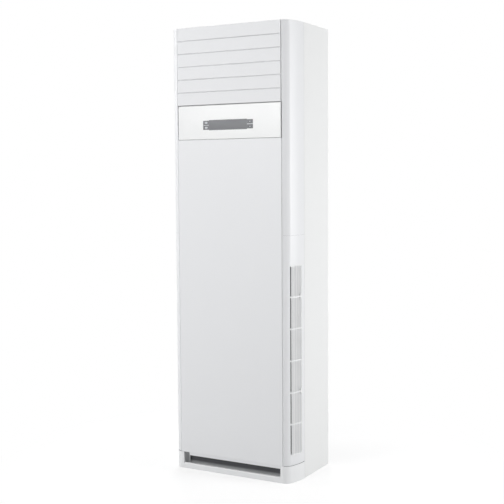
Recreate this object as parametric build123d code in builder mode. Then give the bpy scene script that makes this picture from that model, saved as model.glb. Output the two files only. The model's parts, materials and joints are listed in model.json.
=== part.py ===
from build123d import *
from math import cos, hypot, radians, sin, sqrt
import os

os.makedirs("parts", exist_ok=True)

# Floor standing air conditioner, indoor cabinet. Millimetres, +Z up, front faces -Y.
# The origin is on the floor, under the middle of the cabinet.

# ---------------------------------------------------------------- cabinet
overall_width = 544.0
overall_depth = 324.0
overall_height = 1750.0
sheet = 1.0  # steel sheet
wall = 2.5  # moulded plastic
seat_gap = 0.3  # between pieces that rest against each other

front_y = -overall_depth / 2
back_y = overall_depth / 2
side_x = overall_width / 2

# ---------------------------------------------------------------- moulded corners
corner_width = 42.0  # seen from the front
opening_half = side_x - corner_width  # half the width between the corner mouldings
corner_depth = 105.0  # from the front to the seam with the side panels
corner_step = 1.0  # the corners start this far behind the front panel
corner_lead = 10.0  # degrees, the slope with which they leave the front
arris_inset = 17.0  # the crease lies this far inside the cabinet's width
arris_depth = 18.0  # and this far behind the front
inner_round = 2.0  # on the corners' edges beside the front panel
seam_width = 3.0  # soft shadow seams where the mouldings meet their neighbours
seam_depth = 1.5
joint_rebate = 0.8  # height of the finer seam between the two mouldings of a side
joint_inset = 0.6
joint_height = 950.0  # between the lower and upper corner mouldings
seam_y = front_y + corner_depth
arris_x = side_x - arris_inset
arris_y = front_y + arris_depth
flank_run = corner_depth - arris_depth
flank_radius = (arris_inset**2 + flank_run**2) / (2 * arris_inset)

# ---------------------------------------------------------------- base
plinth_height = 67.0
jamb_width = 12.0  # plinth showing between the slot and the corners
slot_half = opening_half - jamb_width
slot_floor = 23.0  # height of the slot's sill
slot_depth = 40.0
sill_lip = 10.0  # depth of the rolled edge along the sill
sill_round = 5.0
jamb_return = 5.0  # flange along the jambs' rear edges
foot_gap = 1.8  # the jambs end just above the pan
pan_gap = 4.0  # between the plinth's jambs and the pan's upturned front
pan_front_rise = 62.0
pan_rim = 40.0
pan_tongue = 5.0  # the pan's front edge lies this far behind the cabinet's front
inner_half = side_x - sheet - 1.8  # half width of trays between the side panels
floor_bolt_radius = 5.5
floor_bolt_span_x = 440.0
floor_bolt_span_y = 150.0

# ---------------------------------------------------------------- side intake
window_low = 105.0
window_high = 838.0
window_front = 17.0  # from the cabinet's front
window_back = 81.0
cell_count = 6
rib_height = 5.0
slat_count = 4
slat_pitch = 14.3
slat_first = 37.0  # depth of the first slat's outer edge
slat_length = 11.0
slat_thickness = 1.8
slat_recess = 1.5
grille_depth = 26.0  # from the cabinet's side to the grille's inner face
grille_inner_x = side_x - grille_depth
grille_gap = 0.4
filter_thickness = 2.5
filter_border = 5.0
tab_width = 7.0
tab_height = 20.0

# ---------------------------------------------------------------- outlet
band_pitch = 50.0
band_count = 6
blade_count = band_count - 1
band_gap = 1.2
blade_end_gap = 4.0
blade_half = opening_half - blade_end_gap
outlet_low = overall_height - band_count * band_pitch
pivot_depth = 14.0
pivot_y = front_y + pivot_depth
pin_radius = 3.0
pin_clearance = 0.1
crank_radius = 32.0
crank_angle = 80.0  # degrees above horizontal when the blades are shut
link_pin_radius = 2.0
gear_inset = 25.0  # swing link and vane motor, from the opening's sides
link_x = gear_inset - opening_half
link_thickness = 3.0
link_width = 8.0
arm_thickness = 3.7
crank_hub = 6.0
lug_height = 10.0  # lugs at the blades' ends
lug_width = 3.5
pivot_reach = 7.5  # the pins reach this far into the corners
motor_radius = 14.0
motor_length = 19.0
motor_ear_length = 42.0
motor_ear_width = 7.0
louvre_motor_y = front_y + 62.0
louvre_motor_z = outlet_low + 2 * band_pitch

# ---------------------------------------------------------------- upright vanes
vane_count = 5
vane_pitch = 72.0
vane_y = front_y + 78.0
vane_chord = 44.0
vane_thickness = 2.4
vane_pin_radius = 2.5
vane_crank_offset = 18.0
sill_thickness = 6.0
sill_top = outlet_low + 2.0
rail_thickness = 5.7
roof_height = overall_height - 32.0  # underside of the foam roof
vane_link_low = sill_top + 4.0
vane_low = vane_link_low + link_thickness + 0.5
vane_high = roof_height - rail_thickness - 0.8
vane_motor_x = opening_half - gear_inset

# ---------------------------------------------------------------- front and control panels
panel_gap = 1.8  # shadow gap beside the front panel
control_gap = 4.0  # wider gap beside the control panel
panel_skin = 3.0
panel_flange = 18.0
control_top = outlet_low - 2.5
control_height = 130.5
control_low = control_top - control_height
panel_top = control_low - 1.0
control_flange = 15.0
lip_drop = 11.5  # the panel's lower lip reaches this far into the toe slot
lip_low = plinth_height - lip_drop
tab_count = 3  # locating tabs on each side flange of the front panel
notch_width = 24.0
display_x = -2.0
display_z = control_low + 54.3
display_width = 221.0
display_height = 35.0
screen_width = 168.0
screen_height = 39.0
lens_thickness = 3.0
lens_border = 3.0
button_length = 13.0
button_height = 7.0
button_spread = 97.0
button_rise = 9.4
button_gap = 0.2
board_thickness = 1.6
board_front = front_y + 10.0
display_board_width = 246.0
display_board_height = 42.0
post_size = 6.0  # square posts and spacers that carry the boards
post_inset = 5.0  # from the display board's edges

# ---------------------------------------------------------------- blower
deck_height = 720.0
wheel_radius = 150.0
wheel_eye = 122.0
wheel_width = 110.0
wheel_blades = 28
wheel_x = -18.0
wheel_z = 330.0
wheel_inset = 15.0  # from the scroll's front
scroll_step = 18.0
scroll_start = 168.0
scroll_left = wheel_x - scroll_step / 2  # side walls of the upward outlet
scroll_right = wheel_x + scroll_start + 2.5 * scroll_step
blower_space = 202.0  # depth kept for the scroll, its motor and the air behind
scroll_front = back_y - blower_space
wheel_front = scroll_front + wheel_inset
scroll_width = 140.0
scroll_sheet = 1.2
shaft_radius = 6.0
motor_body_radius = 65.0
motor_body_length = 46.0
motor_flange = 2 * motor_body_radius + 20.0
hub_radius = 20.0
ring_throat = 116.0
ring_bend = 19.5  # the bell mouth widens and deepens by this much

# ---------------------------------------------------------------- evaporator
coil_end_space = 25.0  # for the bends, from the opening's sides
coil_width = 2 * (opening_half - coil_end_space)
coil_thickness = 44.0
coil_foot_rise = 38.1  # middle of the coil's lower end, above the deck
coil_foot_setback = 40.3  # and behind the inner cover
coil_top_drop = 18.1  # middle of its upper end, below the duct
coil_top_space = 49.3  # and in front of the cabinet's back
tube_pitch = 72.0
tube_radius = 5.0
tube_clearance = 0.1
groove_pitch = 27.0
groove_width = 3.0
groove_depth = 4.0
pan_height = 28.0
gas_radius = 8.0
liquid_radius = 4.8
gas_x = side_x - 30.0
liquid_x = gas_x - 28.0
liquid_y = back_y - 72.0
union_z = 150.0
pipe_hole_radius = 34.0
pipe_hole_x = (gas_x + liquid_x) / 2
spigot_radius = 8.0
cable_hole_x = 150.0  # mains inlet, beside the pipes
cable_hole_z = 120.0
cable_hole_radius = 11.0

# ---------------------------------------------------------------- electric box
box_width = 230.0
box_height = 280.0
box_x = -60.0
box_drop = 302.0  # middle of the box, below the outlet's sill
box_z = sill_top - box_drop
box_depth = 36.7
bushing_radius = 9.0  # cable opening in the floor of the box
bushing_offset = 80.0  # beside the box's middle
box_space = 59.0  # from the cabinet's front to the coil chamber's inner cover
cover_front = front_y + box_space
pan_back = cover_front + 62.0
spigot_x = opening_half - 30.0
spigot_y = cover_front + 43.0


def finish(piece, name):
    """Names a finished piece and writes it."""
    piece.part.label = name
    export_step(piece.part, f"parts/{name}.step")


def flank_x(y):
    """Outer x of the right corner's curved flank at a given y."""
    return side_x - flank_radius + sqrt(flank_radius**2 - (y - seam_y) ** 2)


# Plan outlines of the right corner moulding and of the plinth, used by several pieces.
with BuildSketch() as corner_outline:
    with BuildLine():
        corner_start = (opening_half, front_y + corner_step)
        TangentArc(
            corner_start,
            (arris_x, arris_y),
            tangent=(cos(radians(corner_lead)), sin(radians(corner_lead))),
        )
        TangentArc((side_x, seam_y), (arris_x, arris_y), tangent=(0, -1))
        Polyline((side_x, seam_y), (opening_half, seam_y), corner_start)
    make_face()

# The rear edge is stepped in for the seam with the side panel.
with BuildSketch() as seam_notch:
    with Locations((side_x, seam_y)):
        Rectangle(2 * seam_depth, 2 * seam_width)

with BuildSketch() as corner_plan:
    add(corner_outline.sketch)
    inner_corner = corner_plan.vertices().sort_by_distance(corner_start)[0]
    fillet(inner_corner, radius=inner_round)
    add(seam_notch.sketch, mode=Mode.SUBTRACT)

with BuildSketch() as corner_hollow:
    add(corner_outline.sketch)
    offset(amount=-wall, kind=Kind.INTERSECTION)

with BuildSketch() as joint_plan:
    add(corner_outline.sketch)
    offset(amount=-joint_inset, kind=Kind.INTERSECTION)
    add(seam_notch.sketch, mode=Mode.SUBTRACT)

with BuildSketch() as foot_plan:
    add(corner_outline.sketch)
    offset(amount=-seam_depth, kind=Kind.INTERSECTION)

with BuildSketch() as plinth_plan:
    add(corner_outline.sketch)
    mirror(about=Plane.YZ)
    with Locations((0, (front_y + corner_step + seam_y) / 2)):
        Rectangle(2 * opening_half, corner_depth - corner_step)

with BuildSketch() as plinth_hollow:
    add(plinth_plan.sketch)
    offset(amount=-wall, kind=Kind.INTERSECTION)

# Plan outline of the trays that fill the cabinet: narrow between the corners, wide behind.
tray_front = cover_front - sheet
wide_front = seam_y + sheet + 2 * seat_gap
tray_back = back_y - sheet - seat_gap
with BuildSketch() as tray_plan:
    with Locations((0, (wide_front + tray_back) / 2)):
        Rectangle(2 * inner_half, tray_back - wide_front)
    with Locations((0, (tray_front + wide_front) / 2)):
        Rectangle(2 * (opening_half - 0.8), wide_front - tray_front)

# ---------------------------------------------------------------- base plinth
plinth_top = plinth_height - seat_gap
with BuildPart() as base_plinth:
    with BuildSketch():
        add(plinth_plan.sketch)
        add(seam_notch.sketch, mode=Mode.SUBTRACT)
        mirror(seam_notch.sketch, about=Plane.YZ, mode=Mode.SUBTRACT)
    extrude(amount=plinth_top)
    with BuildSketch():
        add(plinth_hollow.sketch)
        with Locations((0, seam_y)):
            Rectangle(2 * (opening_half - wall), 4 * wall)
    extrude(amount=plinth_top - wall, mode=Mode.SUBTRACT)
    # Jambs stand beside the slot, with a narrow return flange at the rear.
    jamb_depth = slot_depth - corner_step
    with BuildSketch(Plane.XY.offset(foot_gap)):
        for side in (1, -1):
            with Locations((side * (slot_half + wall / 2), front_y + slot_depth - jamb_depth / 2)):
                Rectangle(wall, jamb_depth)
    extrude(amount=plinth_top - foot_gap)
    # The slot is open above the sill and behind it.
    with BuildSketch(Plane.XY.offset(slot_floor)):
        with Locations((0, front_y + slot_depth / 2)):
            Rectangle(2 * slot_half, slot_depth + 3 * wall)
    extrude(amount=plinth_top, mode=Mode.SUBTRACT)
    with BuildSketch(Plane.XY.offset(foot_gap)):
        for side in (1, -1):
            with Locations((side * (slot_half - jamb_return / 2), front_y + slot_depth - wall / 2)):
                Rectangle(jamb_return, wall)
    extrude(amount=plinth_top - foot_gap)
    with BuildSketch(Plane.XY.offset(slot_floor)):
        with Locations((0, front_y + corner_step + sill_lip / 2)):
            Rectangle(2 * slot_half, sill_lip)
    extrude(amount=-wall)
    sill_edge = (
        base_plinth.edges()
        .filter_by(Axis.X)
        .filter_by_position(Axis.Z, slot_floor - 0.01, slot_floor + 0.01)
        .sort_by(Axis.Y)[0]
    )
    fillet(sill_edge, radius=sill_round)
finish(base_plinth, "base_plinth")

# ---------------------------------------------------------------- steel base pan
pan_front = front_y + slot_depth + pan_gap
with BuildPart() as base_pan:
    with BuildSketch():
        with Locations((0, (wide_front + tray_back) / 2)):
            Rectangle(2 * inner_half, tray_back - wide_front)
    extrude(amount=pan_rim)
    offset(amount=-1.5 * sheet, openings=base_pan.faces().sort_by(Axis.Z)[-1])
    front_half = opening_half - 2 * wall
    tongue_front = front_y + pan_tongue
    with BuildSketch():
        with Locations((0, (tongue_front + wide_front) / 2)):
            Rectangle(2 * front_half, wide_front - tongue_front)
    extrude(amount=1.5 * sheet)
    with BuildSketch():
        with Locations((0, pan_front + 0.75 * sheet)):
            Rectangle(2 * front_half, 1.5 * sheet)
    extrude(amount=pan_front_rise)
    with Locations(Plane.XY.offset(1.5 * sheet)):
        with Locations((0, (wide_front + tray_back) / 2)):
            with GridLocations(floor_bolt_span_x, floor_bolt_span_y, 2, 2):
                Hole(floor_bolt_radius, depth=3 * sheet)
finish(base_pan, "base_pan")

# ---------------------------------------------------------------- side panels and back panel
side_flange = 14.0
cover_skirt = 15.0  # height of the top cover's rim
for side, name in ((1, "right_side_panel"), (-1, "left_side_panel")):
    with BuildPart() as side_panel:
        with BuildSketch():
            with Locations((side * (side_x - sheet / 2), (seam_y + seat_gap + back_y) / 2)):
                Rectangle(sheet, back_y - seam_y - seat_gap)
        extrude(amount=overall_height)
        with BuildSketch():
            with Locations((side * (side_x - side_flange / 2), seam_y + seat_gap + sheet / 2)):
                Rectangle(side_flange, sheet)
        extrude(amount=overall_height - cover_skirt - 2 * sheet)
    finish(side_panel, name)

back_flange = 18.0
back_half = side_x - sheet - 0.4
bead_length = 360.0
bead_width = 24.0
bead_press = 2.0  # depth of the pressed beads
bead_count = 4
bead_pitch = 260.0
strap_drop = 60.0  # wall strap holes, below the top
strap_span = 300.0
strap_hole_radius = 4.0
with BuildSketch() as bead_outside:
    Rectangle(bead_length, bead_width)
    chamfer(bead_outside.vertices(), length=bead_width / 3)
with BuildSketch() as bead_inside:
    add(bead_outside.sketch)
    offset(amount=-sheet, kind=Kind.INTERSECTION)

with BuildPart() as back_panel:
    with BuildSketch():
        with Locations((0, back_y - sheet / 2)):
            Rectangle(2 * back_half, sheet)
    extrude(amount=overall_height - seat_gap)
    with BuildSketch(Plane.XY.offset(pan_rim + 5)):
        for side in (1, -1):
            with Locations((side * (back_half - sheet / 2), back_y - back_flange / 2)):
                Rectangle(sheet, back_flange)
    extrude(amount=overall_height - pan_rim - 30)
    # Stiffening beads are pressed inwards.
    with BuildSketch(Plane.XZ.offset(sheet - back_y)):
        with Locations((0, overall_height / 2)):
            with GridLocations(0, bead_pitch, 1, bead_count):
                add(bead_outside.sketch)
    extrude(amount=bead_press)
    with BuildSketch(Plane.XZ.offset(-back_y)):
        with Locations((0, overall_height / 2)):
            with GridLocations(0, bead_pitch, 1, bead_count):
                add(bead_inside.sketch)
    extrude(amount=bead_press, mode=Mode.SUBTRACT)
    # Holes for the pipes, the mains cable and the strap that ties the top to a wall.
    with BuildSketch(Plane.XZ.offset(-back_y)):
        with Locations((pipe_hole_x, union_z)):
            Circle(pipe_hole_radius)
        with Locations((cable_hole_x, cable_hole_z)):
            Circle(cable_hole_radius)
        with Locations((0, overall_height - strap_drop)):
            with GridLocations(strap_span, 0, 2, 1):
                Circle(strap_hole_radius)
    extrude(amount=3 * sheet, mode=Mode.SUBTRACT)
finish(back_panel, "back_panel")

with BuildPart() as top_cover:
    with BuildSketch(Plane.XY.offset(overall_height)):
        with Locations((0, (seam_y + seat_gap + tray_back) / 2)):
            Rectangle(2 * (side_x - sheet - seat_gap), tray_back - seam_y - seat_gap)
    extrude(amount=-cover_skirt)
    offset(amount=-sheet, openings=top_cover.faces().sort_by(Axis.Z)[0])
finish(top_cover, "top_cover")

# ---------------------------------------------------------------- corner mouldings
blade_heights = [outlet_low + (i + 0.5) * band_pitch for i in range(blade_count)]
upper_height = overall_height - joint_height
lower_height = joint_height - seat_gap - plinth_height
for side, name in ((1, "upper_right_corner"), (-1, "upper_left_corner")):
    with BuildPart() as upper_corner:
        # A shallow rebate along the joint makes its fine shadow line.
        with BuildSketch(Plane.XY.offset(joint_height)):
            add(joint_plan.sketch)
        extrude(amount=joint_rebate)
        with BuildSketch(Plane.XY.offset(joint_height + joint_rebate)):
            add(corner_plan.sketch)
        extrude(amount=upper_height - joint_rebate)
        with BuildSketch(Plane.XY.offset(joint_height)):
            add(corner_hollow.sketch)
        extrude(amount=upper_height - wall, mode=Mode.SUBTRACT)
        with BuildSketch(Plane.YZ.offset(opening_half - wall)):
            for z in blade_heights:
                with Locations((pivot_y, z)):
                    Circle(pin_radius + pin_clearance)
        extrude(amount=3 * wall, mode=Mode.SUBTRACT)
        if side < 0:
            mirror(about=Plane.YZ, mode=Mode.REPLACE)
    finish(upper_corner, name)

window_y = (front_y + window_front, front_y + window_back)
window_mid = (window_y[0] + window_y[1]) / 2
window_mid_z = (window_low + window_high) / 2
for side, name in ((1, "lower_right_corner"), (-1, "lower_left_corner")):
    with BuildPart() as lower_corner:
        # A stepped foot makes the shadow line above the plinth.
        with BuildSketch(Plane.XY.offset(plinth_height)):
            add(foot_plan.sketch)
        extrude(amount=seam_width)
        with BuildSketch(Plane.XY.offset(plinth_height + seam_width)):
            add(corner_plan.sketch)
        extrude(amount=lower_height - seam_width)
        with BuildSketch(Plane.XY.offset(plinth_height)):
            add(corner_hollow.sketch)
        extrude(amount=lower_height, mode=Mode.SUBTRACT)
        with BuildSketch(Plane.YZ.offset(grille_inner_x - 8)):
            with Locations((window_mid, window_mid_z)):
                Rectangle(window_back - window_front, window_high - window_low)
        extrude(amount=side_x, mode=Mode.SUBTRACT)
        # The air leaves the corner through a tall window in its inner wall.
        with BuildSketch(Plane.YZ.offset(opening_half - wall)):
            with Locations((window_mid + wall, window_mid_z)):
                Rectangle(window_back - window_front - 10, window_high - window_low - 20)
        extrude(amount=3 * wall, mode=Mode.SUBTRACT)
        if side < 0:
            mirror(about=Plane.YZ, mode=Mode.REPLACE)
    finish(lower_corner, name)

# ---------------------------------------------------------------- intake grilles and filters
grille_low = window_low + grille_gap
grille_high = window_high - grille_gap
grille_y = (window_y[0] + grille_gap, window_y[1] - grille_gap)
with BuildSketch() as rib_plan:
    with Locations(((grille_inner_x + side_x) / 2, (grille_y[0] + grille_y[1]) / 2)):
        Rectangle(side_x - grille_inner_x, grille_y[1] - grille_y[0])
    add(corner_outline.sketch, mode=Mode.INTERSECT)

slat_cos = cos(radians(45))
with BuildSketch() as slat_plan:
    for i in range(slat_count):
        outer_y = front_y + slat_first + i * slat_pitch
        outer_x = flank_x(outer_y) - slat_recess
        inner = (outer_x - slat_length * slat_cos, outer_y - slat_length * slat_cos)
        skew = (slat_thickness * slat_cos, -slat_thickness * slat_cos)
        with BuildLine():
            Polyline(
                (outer_x, outer_y),
                inner,
                (inner[0] + skew[0], inner[1] + skew[1]),
                (outer_x + skew[0], outer_y + skew[1]),
                close=True,
            )
        make_face()
    add(rib_plan.sketch, mode=Mode.INTERSECT)

rib_levels = [
    window_low + i * (window_high - window_low) / cell_count - rib_height / 2
    for i in range(1, cell_count)
]
for side, word in ((1, "right"), (-1, "left")):
    with BuildPart() as intake_grille:
        with BuildSketch(Plane.XY.offset(grille_low)):
            add(slat_plan.sketch)
        extrude(amount=grille_high - grille_low)
        for z in [grille_low, *rib_levels, grille_high - rib_height]:
            with BuildSketch(Plane.XY.offset(z)):
                add(rib_plan.sketch)
            extrude(amount=rib_height)
        # Finger tabs at the rear ends of the first and fourth ribs from the top.
        for z in (rib_levels[-1], rib_levels[-4]):
            with BuildSketch(Plane.XY.offset(z + (rib_height - tab_height) / 2)):
                with Locations(((grille_inner_x + side_x) / 2, grille_y[1] - tab_width / 2)):
                    Rectangle(side_x - grille_inner_x, tab_width)
                add(corner_outline.sketch, mode=Mode.INTERSECT)
            extrude(amount=tab_height)
        if side < 0:
            mirror(about=Plane.YZ, mode=Mode.REPLACE)
    finish(intake_grille, f"{word}_intake_grille")

    filter_x = grille_inner_x - seat_gap - filter_thickness
    filter_size = (window_back - window_front - 6, window_high - window_low - 6)
    with BuildPart() as intake_filter:
        with BuildSketch(Plane.YZ.offset(filter_x)):
            with Locations((window_mid, window_mid_z)):
                Rectangle(*filter_size)
        extrude(amount=filter_thickness)
        with BuildSketch(Plane.YZ.offset(filter_x + 0.8)):
            with Locations((window_mid, window_mid_z)):
                with GridLocations(0, filter_size[1] / cell_count, 1, cell_count):
                    Rectangle(
                        filter_size[0] - 2 * filter_border,
                        filter_size[1] / cell_count - filter_border,
                    )
        extrude(amount=filter_thickness, mode=Mode.SUBTRACT)
        if side < 0:
            mirror(about=Plane.YZ, mode=Mode.REPLACE)
    finish(intake_filter, f"{word}_filter")

# ---------------------------------------------------------------- outlet header and sill
with BuildPart() as outlet_header:
    header_low = overall_height - band_pitch + band_gap / 2
    header_half = opening_half - seat_gap
    header_web = 34.0
    with BuildSketch(Plane.XY.offset(header_low)):
        with Locations((0, front_y + wall / 2)):
            Rectangle(2 * blade_half, wall)
    extrude(amount=overall_height - header_low)
    with BuildSketch(Plane.XY.offset(overall_height)):
        with Locations((0, (front_y + 2 * wall + seam_y) / 2)):
            Rectangle(2 * header_half, corner_depth - 2 * wall)
        with Locations((0, front_y + 1.5 * wall)):
            Rectangle(2 * blade_half, 3 * wall)
    extrude(amount=-wall)
    # Side webs close the gap to the corners 8 mm behind the front, above the top blade's lip.
    with BuildSketch(Plane.XY.offset(overall_height - header_web)):
        for side in (1, -1):
            with Locations((side * (header_half - wall), front_y + 8)):
                Rectangle(2 * wall, wall)
            with Locations((side * (blade_half - wall / 2), front_y + 5)):
                Rectangle(wall, 8)
    extrude(amount=header_web)
    front_edges = outlet_header.edges().filter_by(Axis.X).group_by(Axis.Y)[0]
    chamfer(front_edges, length=0.8)
finish(outlet_header, "outlet_header")

sill_half = opening_half - seat_gap
web_front = front_y + control_flange + seat_gap
with BuildPart() as outlet_sill:
    with BuildSketch(Plane.XY.offset(sill_top)):
        with Locations((0, (web_front + seam_y) / 2)):
            Rectangle(2 * sill_half, seam_y - web_front)
    extrude(amount=-sill_thickness)
    # Web behind the control panel.
    with BuildSketch(Plane.XY.offset(sill_top)):
        with Locations((0, web_front + wall / 2)):
            Rectangle(2 * sill_half, wall)
    extrude(amount=-(sill_top - panel_top - 2))
    with BuildSketch(Plane.XY.offset(sill_top)):
        vane_places = [(i - (vane_count - 1) / 2) * vane_pitch for i in range(vane_count)]
        for x in [*vane_places, vane_motor_x]:
            with Locations((x, vane_y)):
                Circle(vane_pin_radius + pin_clearance)
    extrude(amount=-2 * sill_thickness, mode=Mode.SUBTRACT)
finish(outlet_sill, "outlet_sill")

with BuildPart() as vane_rail:
    with BuildSketch(Plane.XY.offset(roof_height - seat_gap)):
        with Locations((0, vane_y)):
            Rectangle(2 * sill_half, 24)
        for x in vane_places:
            with Locations((x, vane_y)):
                Circle(vane_pin_radius + pin_clearance, mode=Mode.SUBTRACT)
    extrude(amount=-rail_thickness)
finish(vane_rail, "vane_rail")

# Foam duct: it turns the rising air forwards under the roof.
duct_back = back_y - sheet - 2.4
duct_low = outlet_low - 100
duct_cheek = 14.0
duct_radius = 150.0
duct_front = front_y + 28
duct_roof = overall_height - cover_skirt - sheet
duct_foot = duct_back - 14
duct_rear = duct_back - 22  # inner face of the rear wall
duct_shoulder = seam_y - 0.8
duct_ceiling = overall_height - wall - seat_gap
with BuildPart() as outlet_duct:
    with BuildSketch(Plane.YZ.offset(-sill_half)):
        with BuildLine():
            Polyline(
                (duct_front, roof_height),
                (duct_front, duct_ceiling),
                (duct_shoulder, duct_ceiling),
                (duct_shoulder, duct_roof),
                (duct_back, duct_roof),
                (duct_back, duct_low),
                (duct_foot, duct_low),
                (duct_rear, roof_height - duct_radius),
            )
            TangentArc(
                (duct_rear, roof_height - duct_radius),
                (duct_rear - duct_radius, roof_height),
                tangent=(0, 1),
            )
            Line((duct_rear - duct_radius, roof_height), (duct_front, roof_height))
        make_face()
    extrude(amount=2 * sill_half)
    # Cheeks close the duct at both sides, behind the corners.
    for start in (-sill_half, sill_half - duct_cheek):
        with BuildSketch(Plane.YZ.offset(start)):
            with Locations(((seam_y + duct_back) / 2, (duct_low + roof_height) / 2 + 4)):
                Rectangle(duct_back - seam_y - 6, roof_height - duct_low)
        extrude(amount=duct_cheek)
finish(outlet_duct, "outlet_duct")

# ---------------------------------------------------------------- louvre blades
crank_y = crank_radius * cos(radians(crank_angle))
crank_z = crank_radius * sin(radians(crank_angle))
ear_x = link_x - seat_gap
blade_bottom = -band_pitch / 2 + band_gap / 2
blade_top = band_pitch / 2 - band_gap
lip_top = blade_top + 3.7
# Section: flat front with eased edges, a crowned back, and a lip behind the band above.
with BuildSketch() as blade_section:
    with BuildLine():
        Polyline(
            (5.8, blade_top - 2),
            (5.8, lip_top),
            (3.8, lip_top),
            (3.8, blade_top),
            (1.5, blade_top),
            (0, blade_top - 1.5),
            (0, blade_bottom + 1.2),
            (1.2, blade_bottom),
            (2.8, blade_bottom),
        )
        ThreePointArc((2.8, blade_bottom), (7, 0), (5.8, blade_top - 2))
    make_face()

# A lever seen along X, its shaft at the origin.
with BuildSketch() as lever:
    with Locations((crank_y / 2, crank_z / 2)):
        SlotCenterToCenter(crank_radius, link_width, rotation=crank_angle)

for i, z in enumerate(blade_heights):
    with BuildPart() as louvre_blade:
        with BuildSketch(Plane.YZ.offset(-blade_half)):
            with Locations((front_y, z)):
                add(blade_section.sketch)
        extrude(amount=2 * blade_half)
        # End lugs carry the pivot pins.
        for start, way in ((blade_half, -1), (-blade_half, 1)):
            with BuildSketch(Plane.YZ.offset(start)):
                with Locations((pivot_y - pivot_depth / 2 + 3, z)):
                    Rectangle(pivot_depth + 2, lug_height)
            extrude(amount=way * lug_width)
            with BuildSketch(Plane.YZ.offset(start)):
                with Locations((pivot_y, z)):
                    Circle(pin_radius)
            extrude(amount=-way * pivot_reach)
        # The ear holds the pin that the link hangs on.
        with BuildSketch(Plane.YZ.offset(ear_x)):
            with Locations((pivot_y - pivot_depth / 2 + 2, z)):
                Rectangle(pivot_depth, lug_height)
            with Locations((pivot_y, z)):
                add(lever.sketch)
        extrude(amount=-arm_thickness)
        with BuildSketch(Plane.YZ.offset(ear_x)):
            with Locations((pivot_y + crank_y, z + crank_z)):
                Circle(link_pin_radius)
        extrude(amount=link_thickness + 2 * seat_gap)
    finish(louvre_blade, f"louvre_blade_{i + 1}")

link_y = pivot_y + crank_y
motor_pin_y = louvre_motor_y + crank_y
with BuildPart() as louvre_link:
    with BuildSketch(Plane.YZ.offset(link_x)):
        with Locations((link_y, (blade_heights[0] + blade_heights[-1]) / 2 + crank_z)):
            SlotCenterToCenter(blade_heights[-1] - blade_heights[0], link_width, rotation=90)
        with Locations(((link_y + motor_pin_y) / 2, louvre_motor_z + crank_z)):
            SlotCenterToCenter(motor_pin_y - link_y, link_width)
        for z in blade_heights:
            with Locations((link_y, z + crank_z)):
                Circle(link_pin_radius + pin_clearance, mode=Mode.SUBTRACT)
        with Locations((motor_pin_y, louvre_motor_z + crank_z)):
            Circle(link_pin_radius + pin_clearance, mode=Mode.SUBTRACT)
    extrude(amount=link_thickness)
finish(louvre_link, "louvre_link")

motor_face_x = -opening_half + seat_gap + motor_length
crank_back = motor_face_x + seat_gap
stub_radius = vane_pin_radius
stub_clearance = 0.05
with BuildPart() as louvre_crank:
    with BuildSketch(Plane.YZ.offset(ear_x)):
        with Locations((louvre_motor_y, louvre_motor_z)):
            add(lever.sketch)
            Circle(crank_hub)
    extrude(amount=-arm_thickness)
    with BuildSketch(Plane.YZ.offset(ear_x)):
        with Locations((louvre_motor_y, louvre_motor_z)):
            Circle(crank_hub)
    extrude(amount=crank_back - ear_x)
    with BuildSketch(Plane.YZ.offset(ear_x)):
        with Locations((louvre_motor_y, louvre_motor_z)):
            Circle(stub_radius)
    extrude(amount=crank_back - ear_x - 8)
    with BuildSketch(Plane.YZ.offset(ear_x)):
        with Locations((motor_pin_y, louvre_motor_z + crank_z)):
            Circle(link_pin_radius)
    extrude(amount=link_thickness + 2 * seat_gap)
finish(louvre_crank, "louvre_crank")

# ---------------------------------------------------------------- swing motors
louvre_motor_plane = Plane(
    origin=(motor_face_x, louvre_motor_y, louvre_motor_z),
    x_dir=(0, 1, 0),
    z_dir=(1, 0, 0),
)
vane_motor_plane = Plane(
    origin=(vane_motor_x, vane_y, sill_top - sill_thickness - seat_gap),
    x_dir=(0, 1, 0),
    z_dir=(0, 0, 1),
)
for face, name in ((louvre_motor_plane, "louvre_motor"), (vane_motor_plane, "vane_motor")):
    with BuildPart() as swing_motor:
        with BuildSketch(face):
            Circle(motor_radius)
        extrude(amount=-motor_length)
        with BuildSketch(face):
            Rectangle(motor_ear_width, motor_ear_length)
        extrude(amount=-sheet)
        with BuildSketch(face):
            Circle(stub_radius + stub_clearance)
        extrude(amount=-10, mode=Mode.SUBTRACT)
    finish(swing_motor, name)

# ---------------------------------------------------------------- upright vanes
vane_middle = vane_y + 2
link_pin_y = vane_y + vane_crank_offset
pin_low = sill_top - sill_thickness + 1
pin_high = roof_height - 1.5
for i, x in enumerate(vane_places):
    with BuildPart() as vane:
        with BuildSketch(Plane.XY.offset(vane_low)):
            with Locations((x, vane_middle)):
                Rectangle(vane_thickness, vane_chord)
        extrude(amount=vane_high - vane_low)
        with BuildSketch(Plane.XY.offset(pin_low)):
            with Locations((x, vane_y)):
                Circle(vane_pin_radius)
        extrude(amount=pin_high - pin_low)
        with BuildSketch(Plane.XY.offset(vane_link_low - 0.2)):
            with Locations((x, link_pin_y)):
                Circle(link_pin_radius)
        extrude(amount=vane_low - vane_link_low + 4)
    finish(vane, f"vane_{i + 1}")

with BuildPart() as vane_link:
    with BuildSketch(Plane.XY.offset(vane_link_low)):
        with Locations(((vane_places[0] + vane_motor_x) / 2, link_pin_y)):
            SlotCenterToCenter(vane_motor_x - vane_places[0], link_width)
        for x in [*vane_places, vane_motor_x]:
            with Locations((x, link_pin_y)):
                Circle(link_pin_radius + pin_clearance, mode=Mode.SUBTRACT)
    extrude(amount=link_thickness)
finish(vane_link, "vane_link")

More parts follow.
